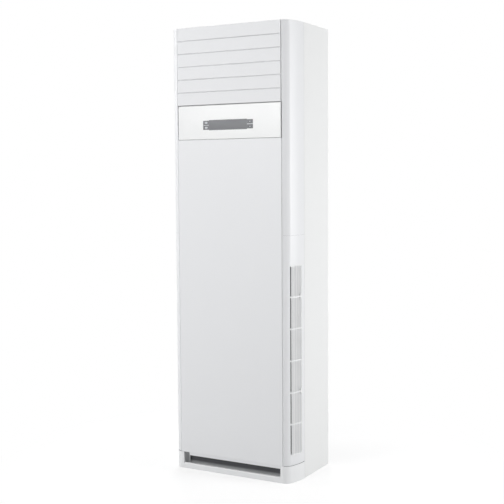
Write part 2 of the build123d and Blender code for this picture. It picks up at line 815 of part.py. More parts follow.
crank_low = sill_top + seat_gap
with BuildPart() as vane_crank:
    with BuildSketch(Plane.XY.offset(crank_low)):
        with Locations((vane_motor_x, vane_y + vane_crank_offset / 2)):
            SlotCenterToCenter(vane_crank_offset, link_width, rotation=90)
        with Locations((vane_motor_x, vane_y)):
            Circle(crank_hub)
    extrude(amount=vane_link_low - 0.5 - crank_low)
    with BuildSketch(Plane.XY.offset(crank_low)):
        with Locations((vane_motor_x, link_pin_y)):
            Circle(link_pin_radius)
    extrude(amount=vane_link_low + link_thickness + seat_gap - crank_low)
    with BuildSketch(Plane.XY.offset(crank_low)):
        with Locations((vane_motor_x, vane_y)):
            Circle(stub_radius)
    extrude(amount=-12)
finish(vane_crank, "vane_crank")

# ---------------------------------------------------------------- front panel
panel_half = opening_half - panel_gap
panel_low = plinth_height
panel_mid = (panel_low + panel_top) / 2
with BuildPart() as front_panel:
    with BuildSketch(Plane.XZ.offset(-front_y)):
        with Locations((0, panel_mid)):
            Rectangle(2 * panel_half, panel_top - panel_low)
    extrude(amount=-panel_flange)
    offset(amount=-wall, openings=front_panel.faces().sort_by(Axis.Y)[-1])
    fillet(front_panel.faces().sort_by(Axis.Y)[0].outer_wire().edges(), radius=1.5)
    # Bevelled lower lip, cut away at the left for a finger.
    lip_left = -slot_half + 1.5 + notch_width
    with BuildSketch(Plane.YZ.offset(lip_left)):
        with BuildLine():
            Polyline(
                (front_y + 1, panel_low + 1.5),
                (front_y + 2.5, lip_low),
                (front_y + 5, lip_low),
                (front_y + 3.5, panel_low + 1.5),
                close=True,
            )
        make_face()
    extrude(amount=slot_half - 1.5 - lip_left)
    # Locating tabs reach from the side flanges to the corners.
    tab_pitch = (panel_top - panel_low) / tab_count
    for i in range(tab_count):
        with BuildSketch(Plane.XY.offset(panel_low + (i + 0.5) * tab_pitch)):
            for side in (1, -1):
                with Locations((side * (opening_half - seat_gap - 1.5), front_y + 14)):
                    Rectangle(3, 8)
        extrude(amount=20)
finish(front_panel, "front_panel")

# ---------------------------------------------------------------- control panel and display
control_mid = (control_low + control_top) / 2
control_half = opening_half - control_gap
post_span_x = display_board_width - 2 * post_inset
post_span_z = display_board_height - 2 * post_inset
with BuildSketch() as window_shape:
    Rectangle(display_width, display_height)
    Rectangle(screen_width, screen_height)
with BuildSketch() as lens_shape:
    add(window_shape.sketch)
    offset(amount=-seat_gap, kind=Kind.INTERSECTION)
with BuildSketch() as lens_flange:
    add(window_shape.sketch)
    offset(amount=lens_border, kind=Kind.INTERSECTION)

with BuildPart() as control_panel:
    with BuildSketch(Plane.XZ.offset(-front_y)):
        with Locations((0, control_mid)):
            Rectangle(2 * control_half, control_top - control_low)
    extrude(amount=-control_flange)
    offset(amount=-panel_skin, openings=control_panel.faces().sort_by(Axis.Y)[-1])
    fillet(control_panel.faces().sort_by(Axis.Y)[0].outer_wire().edges(), radius=1.5)
    with BuildSketch(Plane.XZ.offset(-front_y)):
        with Locations((display_x, display_z)):
            add(window_shape.sketch)
    extrude(amount=-2 * panel_skin, mode=Mode.SUBTRACT)
    # Posts carry the display board.
    with BuildSketch(Plane.XZ.offset(-board_front + seat_gap)):
        with Locations((display_x, display_z)):
            with GridLocations(post_span_x, post_span_z, 2, 2):
                Rectangle(post_size, post_size)
    extrude(amount=board_front - seat_gap - front_y - 1)
finish(control_panel, "control_panel")

lens_front = front_y + 0.4
flange_back = front_y + panel_skin + seat_gap + 1.5
button_places = (
    (-button_spread, button_rise, "button_upper_left"),
    (-button_spread, -button_rise, "button_lower_left"),
    (button_spread, button_rise, "button_upper_right"),
    (button_spread, -button_rise, "button_lower_right"),
)
with BuildPart() as display_window:
    with BuildSketch(Plane.XZ.offset(-lens_front)):
        with Locations((display_x, display_z)):
            add(lens_shape.sketch)
    extrude(amount=-(lens_thickness + 0.2))
    with BuildSketch(Plane.XZ.offset(-flange_back)):
        with Locations((display_x, display_z)):
            add(lens_flange.sketch)
    extrude(amount=1.5)
    with BuildSketch(Plane.XZ.offset(-lens_front)):
        for x, z, name in button_places:
            with Locations((display_x + x, display_z + z)):
                SlotOverall(button_length + 2 * button_gap, button_height + 2 * button_gap)
    extrude(amount=-3 * lens_thickness, mode=Mode.SUBTRACT)
finish(display_window, "display_window")

switch_height = 2.7
switch_size = 6.0
button_flange = 1.0
for x, z, name in button_places:
    with BuildPart() as button:
        with BuildSketch(Plane.XZ.offset(-front_y - 0.1)):
            with Locations((display_x + x, display_z + z)):
                SlotOverall(button_length, button_height)
        extrude(amount=-(flange_back + seat_gap - front_y))
        front_ring = button.faces().sort_by(Axis.Y)[0].outer_wire().edges()
        chamfer(front_ring, length=0.5)
        with BuildSketch(Plane.XZ.offset(-flange_back - seat_gap)):
            with Locations((display_x + x, display_z + z)):
                Rectangle(button_length + 2.5, button_height + 2.5)
        extrude(amount=-button_flange)
    finish(button, name)

with BuildPart() as display_board:
    with BuildSketch(Plane.XZ.offset(-board_front)):
        with Locations((display_x, display_z)):
            Rectangle(display_board_width, display_board_height)
    extrude(amount=-board_thickness)
    with BuildSketch(Plane.XZ.offset(-board_front)):
        for x, z, name in button_places:
            with Locations((display_x + x, display_z + z)):
                Rectangle(switch_size, switch_size)
    extrude(amount=switch_height)
    with BuildSketch(Plane.XZ.offset(-board_front)):
        with Locations((display_x, display_z)):
            Rectangle(screen_width - 6, screen_height - 5)
    extrude(amount=board_front - flange_back - seat_gap)
finish(display_board, "display_board")

# ---------------------------------------------------------------- deck between the chambers
coil_foot = (cover_front + coil_foot_setback, deck_height + coil_foot_rise)
coil_top = (back_y - coil_top_space, duct_low - coil_top_drop)
coil_y = (coil_foot[0] + coil_top[0]) / 2
coil_z = (coil_foot[1] + coil_top[1]) / 2
coil_length = hypot(coil_top[0] - coil_foot[0], coil_top[1] - coil_foot[1])
coil_sin = (coil_top[0] - coil_foot[0]) / coil_length
coil_cos = (coil_top[1] - coil_foot[1]) / coil_length
tube_count = int(coil_length / tube_pitch)
tube_first = -(tube_count - 1) / 2 * tube_pitch
gas_y = coil_y - tube_first * coil_sin
gas_z = coil_z - tube_first * coil_cos
liquid_start_y = coil_y + tube_first * coil_sin
liquid_start_z = coil_z + tube_first * coil_cos
with BuildPart() as blower_deck:
    with BuildSketch(Plane.XY.offset(deck_height + sheet)):
        add(tray_plan.sketch)
    extrude(amount=-20)
    offset(amount=-sheet, openings=blower_deck.faces().sort_by(Axis.Z)[0])
    with BuildSketch(Plane.XY.offset(deck_height)):
        with Locations(((scroll_left + scroll_right) / 2, scroll_front + scroll_width / 2)):
            Rectangle(scroll_right - scroll_left, scroll_width)
        with Locations((spigot_x, spigot_y)):
            Circle(spigot_radius + 6)
        with Locations((gas_x, gas_y)):
            Circle(gas_radius + 4)
        with Locations((liquid_x, liquid_y)):
            Circle(liquid_radius + 4)
    extrude(amount=3 * sheet, mode=Mode.SUBTRACT)
finish(blower_deck, "blower_deck")

# ---------------------------------------------------------------- blower
def wheel_plane(y):
    """Upright plane facing the front, its origin on the wheel's axis."""
    return Plane(origin=(wheel_x, y, wheel_z), x_dir=(1, 0, 0), z_dir=(0, -1, 0))


# Inside of the scroll: four growing quarters, the last one straight up into the outlet.
half_step = scroll_step / 2
scroll_top = deck_height - seat_gap - wheel_z
with BuildSketch() as scroll_inside:
    with BuildLine():
        radius_a = scroll_start
        radius_b = scroll_start + scroll_step
        radius_c = scroll_start + 2 * scroll_step
        Line((-half_step, scroll_top + 20), (-half_step, radius_a - half_step))
        CenterArc((-half_step, -half_step), radius_a, 90, 90)
        CenterArc((half_step, -half_step), radius_b, 180, 90)
        CenterArc((half_step, half_step), radius_c, 270, 90)
        Line((half_step + radius_c, half_step), (half_step + radius_c, scroll_top + 20))
        Line((half_step + radius_c, scroll_top + 20), (-half_step, scroll_top + 20))
    make_face()

with BuildSketch() as scroll_outside:
    add(scroll_inside.sketch)
    offset(amount=scroll_sheet, kind=Kind.INTERSECTION)

with BuildPart() as scroll_housing:
    with BuildSketch(wheel_plane(scroll_front)):
        add(scroll_outside.sketch)
    extrude(amount=-scroll_width)
    with BuildSketch(wheel_plane(scroll_front + scroll_sheet)):
        add(scroll_inside.sketch)
    extrude(amount=-(scroll_width - 2 * scroll_sheet), mode=Mode.SUBTRACT)
    split(bisect_by=Plane.XY.offset(deck_height - seat_gap), keep=Keep.BOTTOM)
    with BuildSketch(wheel_plane(scroll_front)):
        Circle(ring_throat + ring_bend + seat_gap)
    extrude(amount=-scroll_width / 2, mode=Mode.SUBTRACT)
    with BuildSketch(wheel_plane(0)):
        Circle(2 * shaft_radius)
    extrude(amount=-scroll_width, mode=Mode.SUBTRACT)
finish(scroll_housing, "scroll_housing")

# Bell mouth in front of the wheel's eye, spun from sheet as a flange and a cone.
ring_front = scroll_front - seat_gap - scroll_sheet
ring_sketch = Plane(origin=(wheel_x, 0, wheel_z), x_dir=(1, 0, 0), z_dir=(0, 0, 1))
with BuildPart() as inlet_ring:
    with BuildSketch(ring_sketch):
        with BuildLine():
            Polyline(
                (wheel_radius, ring_front),
                (ring_throat + ring_bend, ring_front),
                (ring_throat, ring_front + ring_bend),
                (ring_throat + scroll_sheet, ring_front + ring_bend),
                (ring_throat + ring_bend, ring_front + scroll_sheet),
                (wheel_radius, ring_front + scroll_sheet),
                close=True,
            )
        make_face()
    revolve(axis=Axis((wheel_x, 0, wheel_z), (0, 1, 0)))
finish(inlet_ring, "inlet_ring")

# Forward curved blades between a back plate and a front ring.
wheel_back = wheel_front + wheel_width
hub_front = wheel_back - hub_radius - 5


def polar(radius, angle):
    """Point at a radius and an angle in degrees around the wheel's axis."""
    return (radius * cos(radians(angle)), radius * sin(radians(angle)))


blade_turn = 0.53  # degrees that a blade's thickness takes around the wheel
belly = (wheel_radius + wheel_eye) / 2
with BuildSketch() as wheel_blade:
    with BuildLine():
        Polyline(
            polar(wheel_eye + 0.4, 3),
            polar(belly, 0),
            polar(wheel_radius - 0.4, 4.5),
            polar(wheel_radius - 0.4, 4.5 + blade_turn),
            polar(belly, blade_turn),
            polar(wheel_eye + 0.4, 3 + blade_turn),
            close=True,
        )
    make_face()

with BuildPart() as fan_wheel:
    with BuildSketch(wheel_plane(wheel_front)):
        with PolarLocations(0, wheel_blades):
            add(wheel_blade.sketch)
    extrude(amount=-(wheel_width - 1))
    with BuildSketch(wheel_plane(wheel_front)):
        Circle(wheel_radius)
        Circle(wheel_eye, mode=Mode.SUBTRACT)
    extrude(amount=-2)
    with BuildSketch(wheel_plane(wheel_back)):
        Circle(wheel_radius)
    extrude(amount=2)
    with BuildSketch(wheel_plane(wheel_back)):
        Circle(hub_radius)
    extrude(amount=wheel_back - hub_front)
    with BuildSketch(wheel_plane(wheel_back)):
        Circle(shaft_radius + stub_clearance)
    extrude(amount=wheel_width, mode=Mode.SUBTRACT)
finish(fan_wheel, "fan_wheel")

scroll_back = scroll_front + scroll_width
motor_front = scroll_back + seat_gap
with BuildPart() as motor_shaft:
    with BuildSketch(wheel_plane(hub_front - 5)):
        Circle(shaft_radius)
    extrude(amount=-(motor_front + 12 - hub_front + 5))
finish(motor_shaft, "motor_shaft")

with BuildPart() as fan_motor:
    with BuildSketch(wheel_plane(motor_front)):
        Rectangle(motor_flange, motor_flange)
    extrude(amount=-3 * sheet)
    with BuildSketch(wheel_plane(motor_front)):
        Circle(motor_body_radius)
    extrude(amount=-(motor_body_length + 3 * sheet))
    chamfer(fan_motor.faces().sort_by(Axis.Y)[-1].outer_wire().edges(), length=6)
    with BuildSketch(wheel_plane(motor_front)):
        Circle(shaft_radius + 2 * stub_clearance)
    extrude(amount=-14, mode=Mode.SUBTRACT)
finish(fan_motor, "fan_motor")

# ---------------------------------------------------------------- coil chamber
cover_low = deck_height + sheet + seat_gap
cover_high = sill_top - sill_thickness - seat_gap
cover_half = opening_half - 2 * seat_gap - 0.4
with BuildPart() as inner_cover:
    with BuildSketch(Plane.XY.offset(cover_low)):
        with Locations((0, cover_front + sheet / 2)):
            Rectangle(2 * cover_half, sheet)
        for side in (1, -1):
            with Locations((side * (cover_half - sheet / 2), cover_front + 6.5)):
                Rectangle(sheet, 13)
    extrude(amount=cover_high - cover_low)
finish(inner_cover, "inner_cover")

pan_front_y = cover_front + sheet + seat_gap
with BuildPart() as drain_pan:
    with BuildSketch(Plane.XY.offset(cover_low)):
        with Locations((0, (pan_front_y + pan_back) / 2)):
            Rectangle(2 * (cover_half - 3), pan_back - pan_front_y)
    extrude(amount=pan_height)
    offset(amount=-2, openings=drain_pan.faces().sort_by(Axis.Z)[-1])
    with BuildSketch(Plane.XY.offset(cover_low + 1)):
        with Locations((spigot_x, spigot_y)):
            Circle(spigot_radius)
    extrude(amount=-32)
    with BuildSketch(Plane.XY.offset(cover_low + 3)):
        with Locations((spigot_x, spigot_y)):
            Circle(spigot_radius - 2)
    extrude(amount=-40, mode=Mode.SUBTRACT)
finish(drain_pan, "drain_pan")


def coil_side(x):
    """Upright plane across the tubes, its own X axis running up the tilted coil."""
    return Plane(origin=(x, coil_y, coil_z), x_dir=(0, coil_sin, coil_cos), z_dir=(1, 0, 0))


def coil_rear(along):
    """Point (y, z) just inside the end plates' rear edge, at a distance along the coil."""
    rear = coil_thickness / 2 + 2.5
    return (
        coil_y + along * coil_sin + rear * coil_cos,
        coil_z + along * coil_cos - rear * coil_sin,
    )


coil_face = Plane(
    origin=(0, coil_y, coil_z),
    x_dir=(1, 0, 0),
    z_dir=(0, -coil_cos, coil_sin),
)
plate_sheet = 1.2
plate_margin = 4.0
foot_width = 13.0
foot_reach = 80.0  # the feet join the end plates up to this far below the coil's middle
plate_x = coil_width / 2 - plate_sheet
foot_front = coil_rear(5 - coil_length / 2)
foot_back = coil_rear(-foot_reach)
with BuildPart() as coil_fins:
    with BuildSketch(coil_face.offset(-coil_thickness / 2)):
        Rectangle(coil_width, coil_length)
    extrude(amount=coil_thickness)
    groove_count = int(coil_width / groove_pitch) - 1
    with BuildSketch(coil_face.offset(coil_thickness / 2)):
        with GridLocations(groove_pitch, 0, groove_count, 1):
            Rectangle(groove_width, coil_length)
    extrude(amount=-groove_depth, mode=Mode.SUBTRACT)
    # End plates; their feet stand on the deck behind the drain pan.
    for side in (1, -1):
        with BuildSketch(coil_side(side * plate_x)):
            Rectangle(coil_length, coil_thickness + 2 * plate_margin)
        extrude(amount=side * plate_sheet)
        with BuildSketch(Plane.YZ.offset(side * plate_x)):
            with BuildLine():
                Polyline(
                    (foot_front[0], cover_low),
                    (foot_back[0], cover_low),
                    foot_back,
                    foot_front,
                    close=True,
                )
            make_face()
        extrude(amount=side * plate_sheet)
        with BuildSketch(Plane.XY.offset(cover_low)):
            with Locations((side * (plate_x + foot_width / 2), (foot_front[0] + foot_back[0]) / 2)):
                Rectangle(foot_width, foot_back[0] - foot_front[0])
        extrude(amount=plate_sheet)
    with BuildSketch(coil_side(-coil_width / 2)):
        with GridLocations(tube_pitch, 0, tube_count, 1):
            Circle(tube_radius + tube_clearance)
    extrude(amount=coil_width, mode=Mode.SUBTRACT)
finish(coil_fins, "coil_fins")

# Straight tubes joined by return bends, in turn at the left and at the right.
tube_end = coil_width / 2 + 2.0
bend_half = 0.9 * tube_radius
bend_reach = tube_pitch / 3
with BuildPart() as coil_tubes:
    with BuildSketch(coil_side(-tube_end)):
        with GridLocations(tube_pitch, 0, tube_count, 1):
            Circle(tube_radius)
    extrude(amount=2 * tube_end)
    for i in range(tube_count - 1):
        side = -1 if i % 2 == 0 else 1
        middle = tube_first + (i + 0.5) * tube_pitch
        with BuildSketch(coil_face.offset(-bend_half)):
            with BuildLine():
                Polyline(
                    (side * tube_end, middle - tube_pitch / 2 - bend_half),
                    (side * (tube_end + bend_reach), middle - tube_pitch / 2 + bend_reach / 2),
                    (side * (tube_end + bend_reach), middle + tube_pitch / 2 - bend_reach / 2),
                    (side * tube_end, middle + tube_pitch / 2 + bend_half),
                    (side * tube_end, middle + tube_pitch / 2 - bend_half),
                    (side * (tube_end + bend_reach - 2 * bend_half), middle + tube_pitch / 4),
                    (side * (tube_end + bend_reach - 2 * bend_half), middle - tube_pitch / 4),
                    (side * tube_end, middle - tube_pitch / 2 + bend_half),
                    close=True,
                )
            make_face()
        extrude(amount=2 * bend_half)
finish(coil_tubes, "coil_tubes")

# ---------------------------------------------------------------- refrigerant pipes
pipe_start = tube_end + seat_gap
union_front = back_y - 34.0


def eased(points, cut):
    """The same route with each corner cut off by a short slanting run."""
    route = [Vector(point) for point in points]
    result = [route[0]]
    for before, corner, after in zip(route, route[1:], route[2:]):
        result.append(corner + (before - corner).normalized() * cut)
        result.append(corner + (after - corner).normalized() * cut)
    return [*result, route[-1]]


gas_points = (
    (pipe_start, gas_y, gas_z),
    (gas_x, gas_y, gas_z),
    (gas_x, gas_y, union_z),
    (gas_x, union_front + 1, union_z),
)
liquid_points = (
    (pipe_start, liquid_start_y, liquid_start_z),
    (liquid_x, liquid_start_y, liquid_start_z),
    (liquid_x, liquid_y, liquid_start_z),
    (liquid_x, liquid_y, union_z),
    (liquid_x, union_front + 1, union_z),
)
gas_route = Polyline(*eased(gas_points, 14))
liquid_route = Polyline(*eased(liquid_points, 4))
# Each pipe ends in a brazed union that reaches out through the back panel's hole.
nut_length = 8.0
union_length = 24.0
for name, route, radius, x, nut_radius, nose_radius in (
    ("gas_pipe", gas_route, gas_radius, gas_x, 14.0, 11.0),
    ("liquid_pipe", liquid_route, liquid_radius, liquid_x, 11.0, 8.0),
):
    with BuildPart() as refrigerant_pipe:
        with BuildSketch(Plane(origin=route @ 0, z_dir=route % 0)):
            Circle(radius)
        sweep(path=route, transition=Transition.RIGHT)
        with BuildSketch(Plane.XZ.offset(-union_front)):
            with Locations((x, union_z)):
                RegularPolygon(radius=nut_radius, side_count=6)
        extrude(amount=-nut_length)
        with BuildSketch(Plane.XZ.offset(-union_front)):
            with Locations((x, union_z)):
                Circle(nose_radius)
        extrude(amount=-union_length)
        nose_rim = refrigerant_pipe.faces().sort_by(Axis.Y)[-1].outer_wire().edges()
        chamfer(nose_rim, length=1.5)
    finish(refrigerant_pipe, name)

# Gland for the mains cable, its nut inside the back panel.
gland_nut = 8.0
cable_radius = 4.5
flange_face = back_y - sheet - seat_gap
with BuildPart() as cable_gland:
    with BuildSketch(Plane.XZ.offset(-back_y)):
        with Locations((cable_hole_x, cable_hole_z)):
            Circle(cable_hole_radius - seat_gap)
    extrude(amount=sheet + seat_gap + gland_nut)
    with BuildSketch(Plane.XZ.offset(-flange_face)):
        with Locations((cable_hole_x, cable_hole_z)):
            RegularPolygon(radius=cable_hole_radius + 5, side_count=6)
    extrude(amount=gland_nut)
    with BuildSketch(Plane.XZ.offset(-back_y)):
        with Locations((cable_hole_x, cable_hole_z)):
            Circle(cable_radius)
    extrude(amount=3 * gland_nut, mode=Mode.SUBTRACT)
finish(cable_gland, "cable_gland")

# ---------------------------------------------------------------- electric box
box_back = cover_front - seat_gap
box_front = box_back - box_depth
with BuildPart() as electric_box:
    with BuildSketch(Plane.XZ.offset(-box_front)):
        with Locations((box_x, box_z)):
            Rectangle(box_width, box_height)
    extrude(amount=box_front - box_back)
    offset(amount=-sheet, openings=electric_box.faces().sort_by(Axis.Y)[0])
    # Cable bushing opening in the floor of the box.
    with BuildSketch(Plane.XY.offset(box_z - box_height / 2 - sheet)):
        with Locations((box_x + bushing_offset, (box_front + box_back) / 2)):
            Circle(bushing_radius)
    extrude(amount=3 * sheet, mode=Mode.SUBTRACT)
finish(electric_box, "electric_box")

vent_count = 4  # slots near the top of the cover
vent_drop = 30.0
vent_pitch = 9.0
vent_length = 90.0
vent_width = 4.0
with BuildPart() as electric_box_cover:
    with BuildSketch(Plane.XZ.offset(-box_front + seat_gap)):
        with Locations((box_x, box_z)):
            Rectangle(box_width, box_height)
            with Locations((0, box_height / 2 - vent_drop)):
                with GridLocations(0, vent_pitch, 1, vent_count):
                    Rectangle(vent_length, vent_width, mode=Mode.SUBTRACT)
    extrude(amount=sheet)
finish(electric_box_cover, "electric_box_cover")

spacer_height = 4.0
board_back = box_back - sheet - spacer_height
main_board_width = box_width - 30
main_board_height = box_height - 40
with BuildPart() as main_board:
    with BuildSketch(Plane.XZ.offset(-board_back)):
        with Locations((box_x, box_z)):
            Rectangle(main_board_width, main_board_height)
    extrude(amount=board_thickness)
    # Spacers behind the board, relays, a transformer and terminals in front of it.
    with BuildSketch(Plane.XZ.offset(-board_back)):
        with Locations((box_x, box_z)):
            with GridLocations(main_board_width - 12, main_board_height - 12, 2, 2):
                Rectangle(post_size, post_size)
    extrude(amount=-(spacer_height - seat_gap))
    for x, z, width, height, rise in (
        (-60, 70, 40, 46, 20),
        (0, 80, 18, 26, 15),
        (26, 80, 18, 26, 15),
        (52, 80, 18, 26, 15),
        (10, 10, 30, 30, 3),
        (-60, -10, 24, 24, 17),
        (50, -10, 36, 20, 9),
        (0, -95, 150, 16, 14),
    ):
        with BuildSketch(Plane.XZ.offset(-board_back + board_thickness)):
            with Locations((box_x + x, box_z + z)):
                Rectangle(width, height)
        extrude(amount=rise)
finish(main_board, "main_board")
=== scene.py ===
import bmesh
import bpy
import json
import math
from mathutils import Matrix, Vector


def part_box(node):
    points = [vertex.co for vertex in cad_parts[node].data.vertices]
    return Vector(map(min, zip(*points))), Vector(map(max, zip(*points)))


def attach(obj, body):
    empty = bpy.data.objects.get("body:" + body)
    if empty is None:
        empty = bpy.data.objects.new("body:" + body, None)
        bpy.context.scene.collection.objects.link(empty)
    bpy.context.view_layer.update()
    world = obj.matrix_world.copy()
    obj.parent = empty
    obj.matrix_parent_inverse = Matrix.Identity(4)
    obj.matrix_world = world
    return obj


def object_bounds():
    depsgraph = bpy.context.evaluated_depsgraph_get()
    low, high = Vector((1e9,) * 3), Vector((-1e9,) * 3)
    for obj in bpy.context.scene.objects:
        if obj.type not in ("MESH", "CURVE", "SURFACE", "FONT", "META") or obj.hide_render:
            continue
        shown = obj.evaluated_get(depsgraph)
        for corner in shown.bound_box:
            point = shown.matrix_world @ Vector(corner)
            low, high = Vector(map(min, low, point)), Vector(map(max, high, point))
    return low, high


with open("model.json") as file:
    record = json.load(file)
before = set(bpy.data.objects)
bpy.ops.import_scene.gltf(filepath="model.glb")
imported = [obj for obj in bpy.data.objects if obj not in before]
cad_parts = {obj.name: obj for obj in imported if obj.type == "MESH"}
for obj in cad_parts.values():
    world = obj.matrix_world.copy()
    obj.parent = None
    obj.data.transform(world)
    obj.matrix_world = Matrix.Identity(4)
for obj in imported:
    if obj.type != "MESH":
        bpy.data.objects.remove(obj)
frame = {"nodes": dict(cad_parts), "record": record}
cad_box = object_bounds()

# Real sizes are written in millimetres times MM. Seen from the cabinet's front, X runs to the
# right, Y to the back and Z up from the floor.
MM = 0.001
SIDES = ((1, "right"), (-1, "left"))
FRONT = cad_box[0].y
RIGHT = cad_box[1].x
TOP = cad_box[1].z


# ------------------------------------------------------------------ materials
BUMP_STRENGTH = 0.5  # of every relief; its height is the bump's distance
WHITE = (1.0, 1.0, 1.0, 1.0)


def colour(code):
    """Turns an sRGB hex value into linear red, green, blue and alpha."""
    channels = [int(code[i : i + 2], 16) / 255 for i in (1, 3, 5)]
    linear = [c / 12.92 if c <= 0.04045 else ((c + 0.055) / 1.055) ** 2.4 for c in channels]
    return (*linear, 1.0)


def add_node(tree, kind, settings=None, values=None, links=None):
    """Adds a node, sets its properties and socket values, and links its inputs."""
    node = tree.nodes.new(kind)
    for name, value in (settings or {}).items():
        setattr(node, name, value)
    for key, value in (values or {}).items():
        node.inputs[key].default_value = value
    for key, source in (links or {}).items():
        tree.links.new(source, node.inputs[key])
    return node


def new_material(name, base, roughness, **sockets):
    """A Principled material of one plain tone and gloss, over which a pattern may be linked.

    Further sockets are given by their names with underscores.
    """
    material = bpy.data.materials.new(name)
    material.use_nodes = True
    shader = material.node_tree.nodes["Principled BSDF"]
    shader.inputs["Base Color"].default_value = colour(base)
    shader.inputs["Roughness"].default_value = roughness
    for key, value in sockets.items():
        shader.inputs[key.replace("_", " ")].default_value = value
    return material, material.node_tree, shader


def grain_bump(tree, shader, grain_mm, height_mm, detail=2.0):
    """Fine random relief: grain_mm is the width of one grain."""
    where = add_node(tree, "ShaderNodeTexCoord")
    noise = add_node(
        tree,
        "ShaderNodeTexNoise",
        values={"Scale": 1 / (grain_mm * MM), "Detail": detail},
        links={"Vector": where.outputs["Object"]},
    )
    bump = add_node(
        tree,
        "ShaderNodeBump",
        values={"Strength": BUMP_STRENGTH, "Distance": height_mm * MM},
        links={"Height": noise.outputs["Fac"]},
    )
    tree.links.new(bump.outputs["Normal"], shader.inputs["Normal"])


def uneven_gloss(
    tree, shader, roughness, size_mm, stretch=(1, 1, 1), detail=3.0, noise_span=(0.3, 0.7)
):
    """Roughness that drifts between two values in patches or streaks of a real size.

    It reaches them where the noise has the two values of noise_span.
    """
    where = add_node(tree, "ShaderNodeTexCoord")
    laid = add_node(
        tree,
        "ShaderNodeMapping",
        values={"Scale": stretch},
        links={"Vector": where.outputs["Object"]},
    )
    noise = add_node(
        tree,
        "ShaderNodeTexNoise",
        values={"Scale": 1 / (size_mm * MM), "Detail": detail},
        links={"Vector": laid.outputs["Vector"]},
    )
    tone = add_node(
        tree,
        "ShaderNodeMapRange",
        values={
            "From Min": noise_span[0],
            "From Max": noise_span[1],
            "To Min": roughness[0],
            "To Max": roughness[1],
        },
        links={"Value": noise.outputs["Fac"]},
    )
    tree.links.new(tone.outputs["Result"], shader.inputs["Roughness"])


def grained_plastic(name, base, roughness, grain_mm, height_mm):
    """A plastic whose fine relief breaks its reflections up."""
    material, tree, shader = new_material(name, base, roughness, IOR=1.53)
    grain_bump(tree, shader, grain_mm, height_mm)
    return material


def moulded_abs(name, base, roughness, grain_mm=1.2, height_mm=0.012):
    # Injection moulded ABS from an eroded steel mould: a soft satin face with a grain
    # that breaks reflections up. Real grain is near 0.1 mm; it is drawn coarser to show.
    # A polished mould leaves long, low waves instead.
    return grained_plastic(name, base, roughness, grain_mm, height_mm)


ORANGE_PEEL = {"grain_mm": 3.0, "height_mm": 0.02, "detail": 1.0}


def powder_coat():
    # White powder coat on folded sheet steel: an even skin with faint orange peel.
    material, tree, shader = new_material("white_powder_coat", "#ECEDED", 0.38, IOR=1.5)
    grain_bump(tree, shader, **ORANGE_PEEL)
    return material


def primer_with_painted_light():
    # Dark grey primer on the pressed pan, with painted light: it is drawn paler towards the
    # floor.
    unlit_above, fully_lit_below = 27 * MM, 12 * MM
    material, tree, shader = new_material("dark_primer_with_painted_light", "#606164", 0.55, IOR=1.5)
    grain_bump(tree, shader, **ORANGE_PEEL)
    where = add_node(tree, "ShaderNodeTexCoord")
    height = add_node(tree, "ShaderNodeSeparateXYZ", links={0: where.outputs["Object"]})
    painted_light = add_node(
        tree,
        "ShaderNodeMapRange",
        settings={"interpolation_type": "SMOOTHSTEP"},
        values={"From Min": unlit_above, "From Max": fully_lit_below},
        links={"Value": height.outputs["Z"]},
    )
    # The pale tone is painted light: full near the floor, none above.
    shade = add_node(
        tree,
        "ShaderNodeMix",
        settings={"data_type": "RGBA"},
        values={"A": colour("#545558"), "B": colour("#C6C7C9")},
        links={"Factor": painted_light.outputs["Result"]},
    )
    tree.links.new(shade.outputs["Result"], shader.inputs["Base Color"])
    return material


def zinc_sheet():
    # Hot dipped zinc coated sheet: crystals of a few millimetres that shine differently.
    crystal = 9 * MM
    material, tree, shader = new_material("zinc_coated_sheet", "#A7AAAD", 0.42, Metallic=0.9)
    where = add_node(tree, "ShaderNodeTexCoord")
    cells = add_node(
        tree,
        "ShaderNodeTexVoronoi",
        values={"Scale": 1 / crystal},
        links={"Vector": where.outputs["Object"]},
    )
    tone = add_node(
        tree,
        "ShaderNodeMapRange",
        values={"To Min": 0.36, "To Max": 0.5},
        links={"Value": cells.outputs["Color"]},
    )
    tree.links.new(tone.outputs["Result"], shader.inputs["Roughness"])
    shade = add_node(
        tree,
        "ShaderNodeMix",
        settings={"data_type": "RGBA"},
        values={"A": colour("#A2A5A8"), "B": colour("#B1B4B7")},
        links={"Factor": cells.outputs["Color"]},
    )
    tree.links.new(shade.outputs["Result"], shader.inputs["Base Color"])
    return material


def tinted_window(name, tint):
    # Polished tinted clear plastic over an unlit screen: smooth grey with sharp highlights,
    # a little duller in patches where it has been wiped.
    material, tree, shader = new_material(name, tint, 0.12, IOR=1.49)
    uneven_gloss(tree, shader, (0.07, 0.2), size_mm=14)
    return material


def plated_shell(name, base, roughness):
    # Pressed steel with a thin bright zinc plating: patches of slightly different gloss.
    material, tree, shader = new_material(name, base, roughness[0], Metallic=1.0)
    uneven_gloss(tree, shader, roughness, size_mm=6)
    return material


def ground_steel():
    # Steel bar ground between centres: fine rings around it, so its gloss runs in bands.
    material, tree, shader = new_material("ground_steel_bar", "#B5B6B8", 0.25, Metallic=1.0)
    uneven_gloss(tree, shader, (0.16, 0.36), size_mm=8, stretch=(1, 20, 1))
    return material


def copper_tube():
    # Drawn copper tube, slightly dulled, with wide patches of uneven tarnish.
    material, tree, shader = new_material("drawn_copper", "#B8734F", 0.32, Metallic=1.0)
    uneven_gloss(tree, shader, (0.25, 0.45), size_mm=35, detail=4.0, noise_span=(0, 1))
    return material


def screen_print():
    # Thick light grey ink pressed through a screen: matt, with a faint weave of dots.
    material, tree, shader = new_material("light_grey_screen_ink", "#C3C5C8", 0.45)
    grain_bump(tree, shader, grain_mm=0.5, height_mm=0.02)
    return material


def laminate():
    # Glass fibre laminate under green solder mask: flat satin green.
    material, tree, shader = new_material("green_laminate", "#1F5B3A", 0.4)
    grain_bump(tree, shader, grain_mm=1.0, height_mm=0.02)
    return material


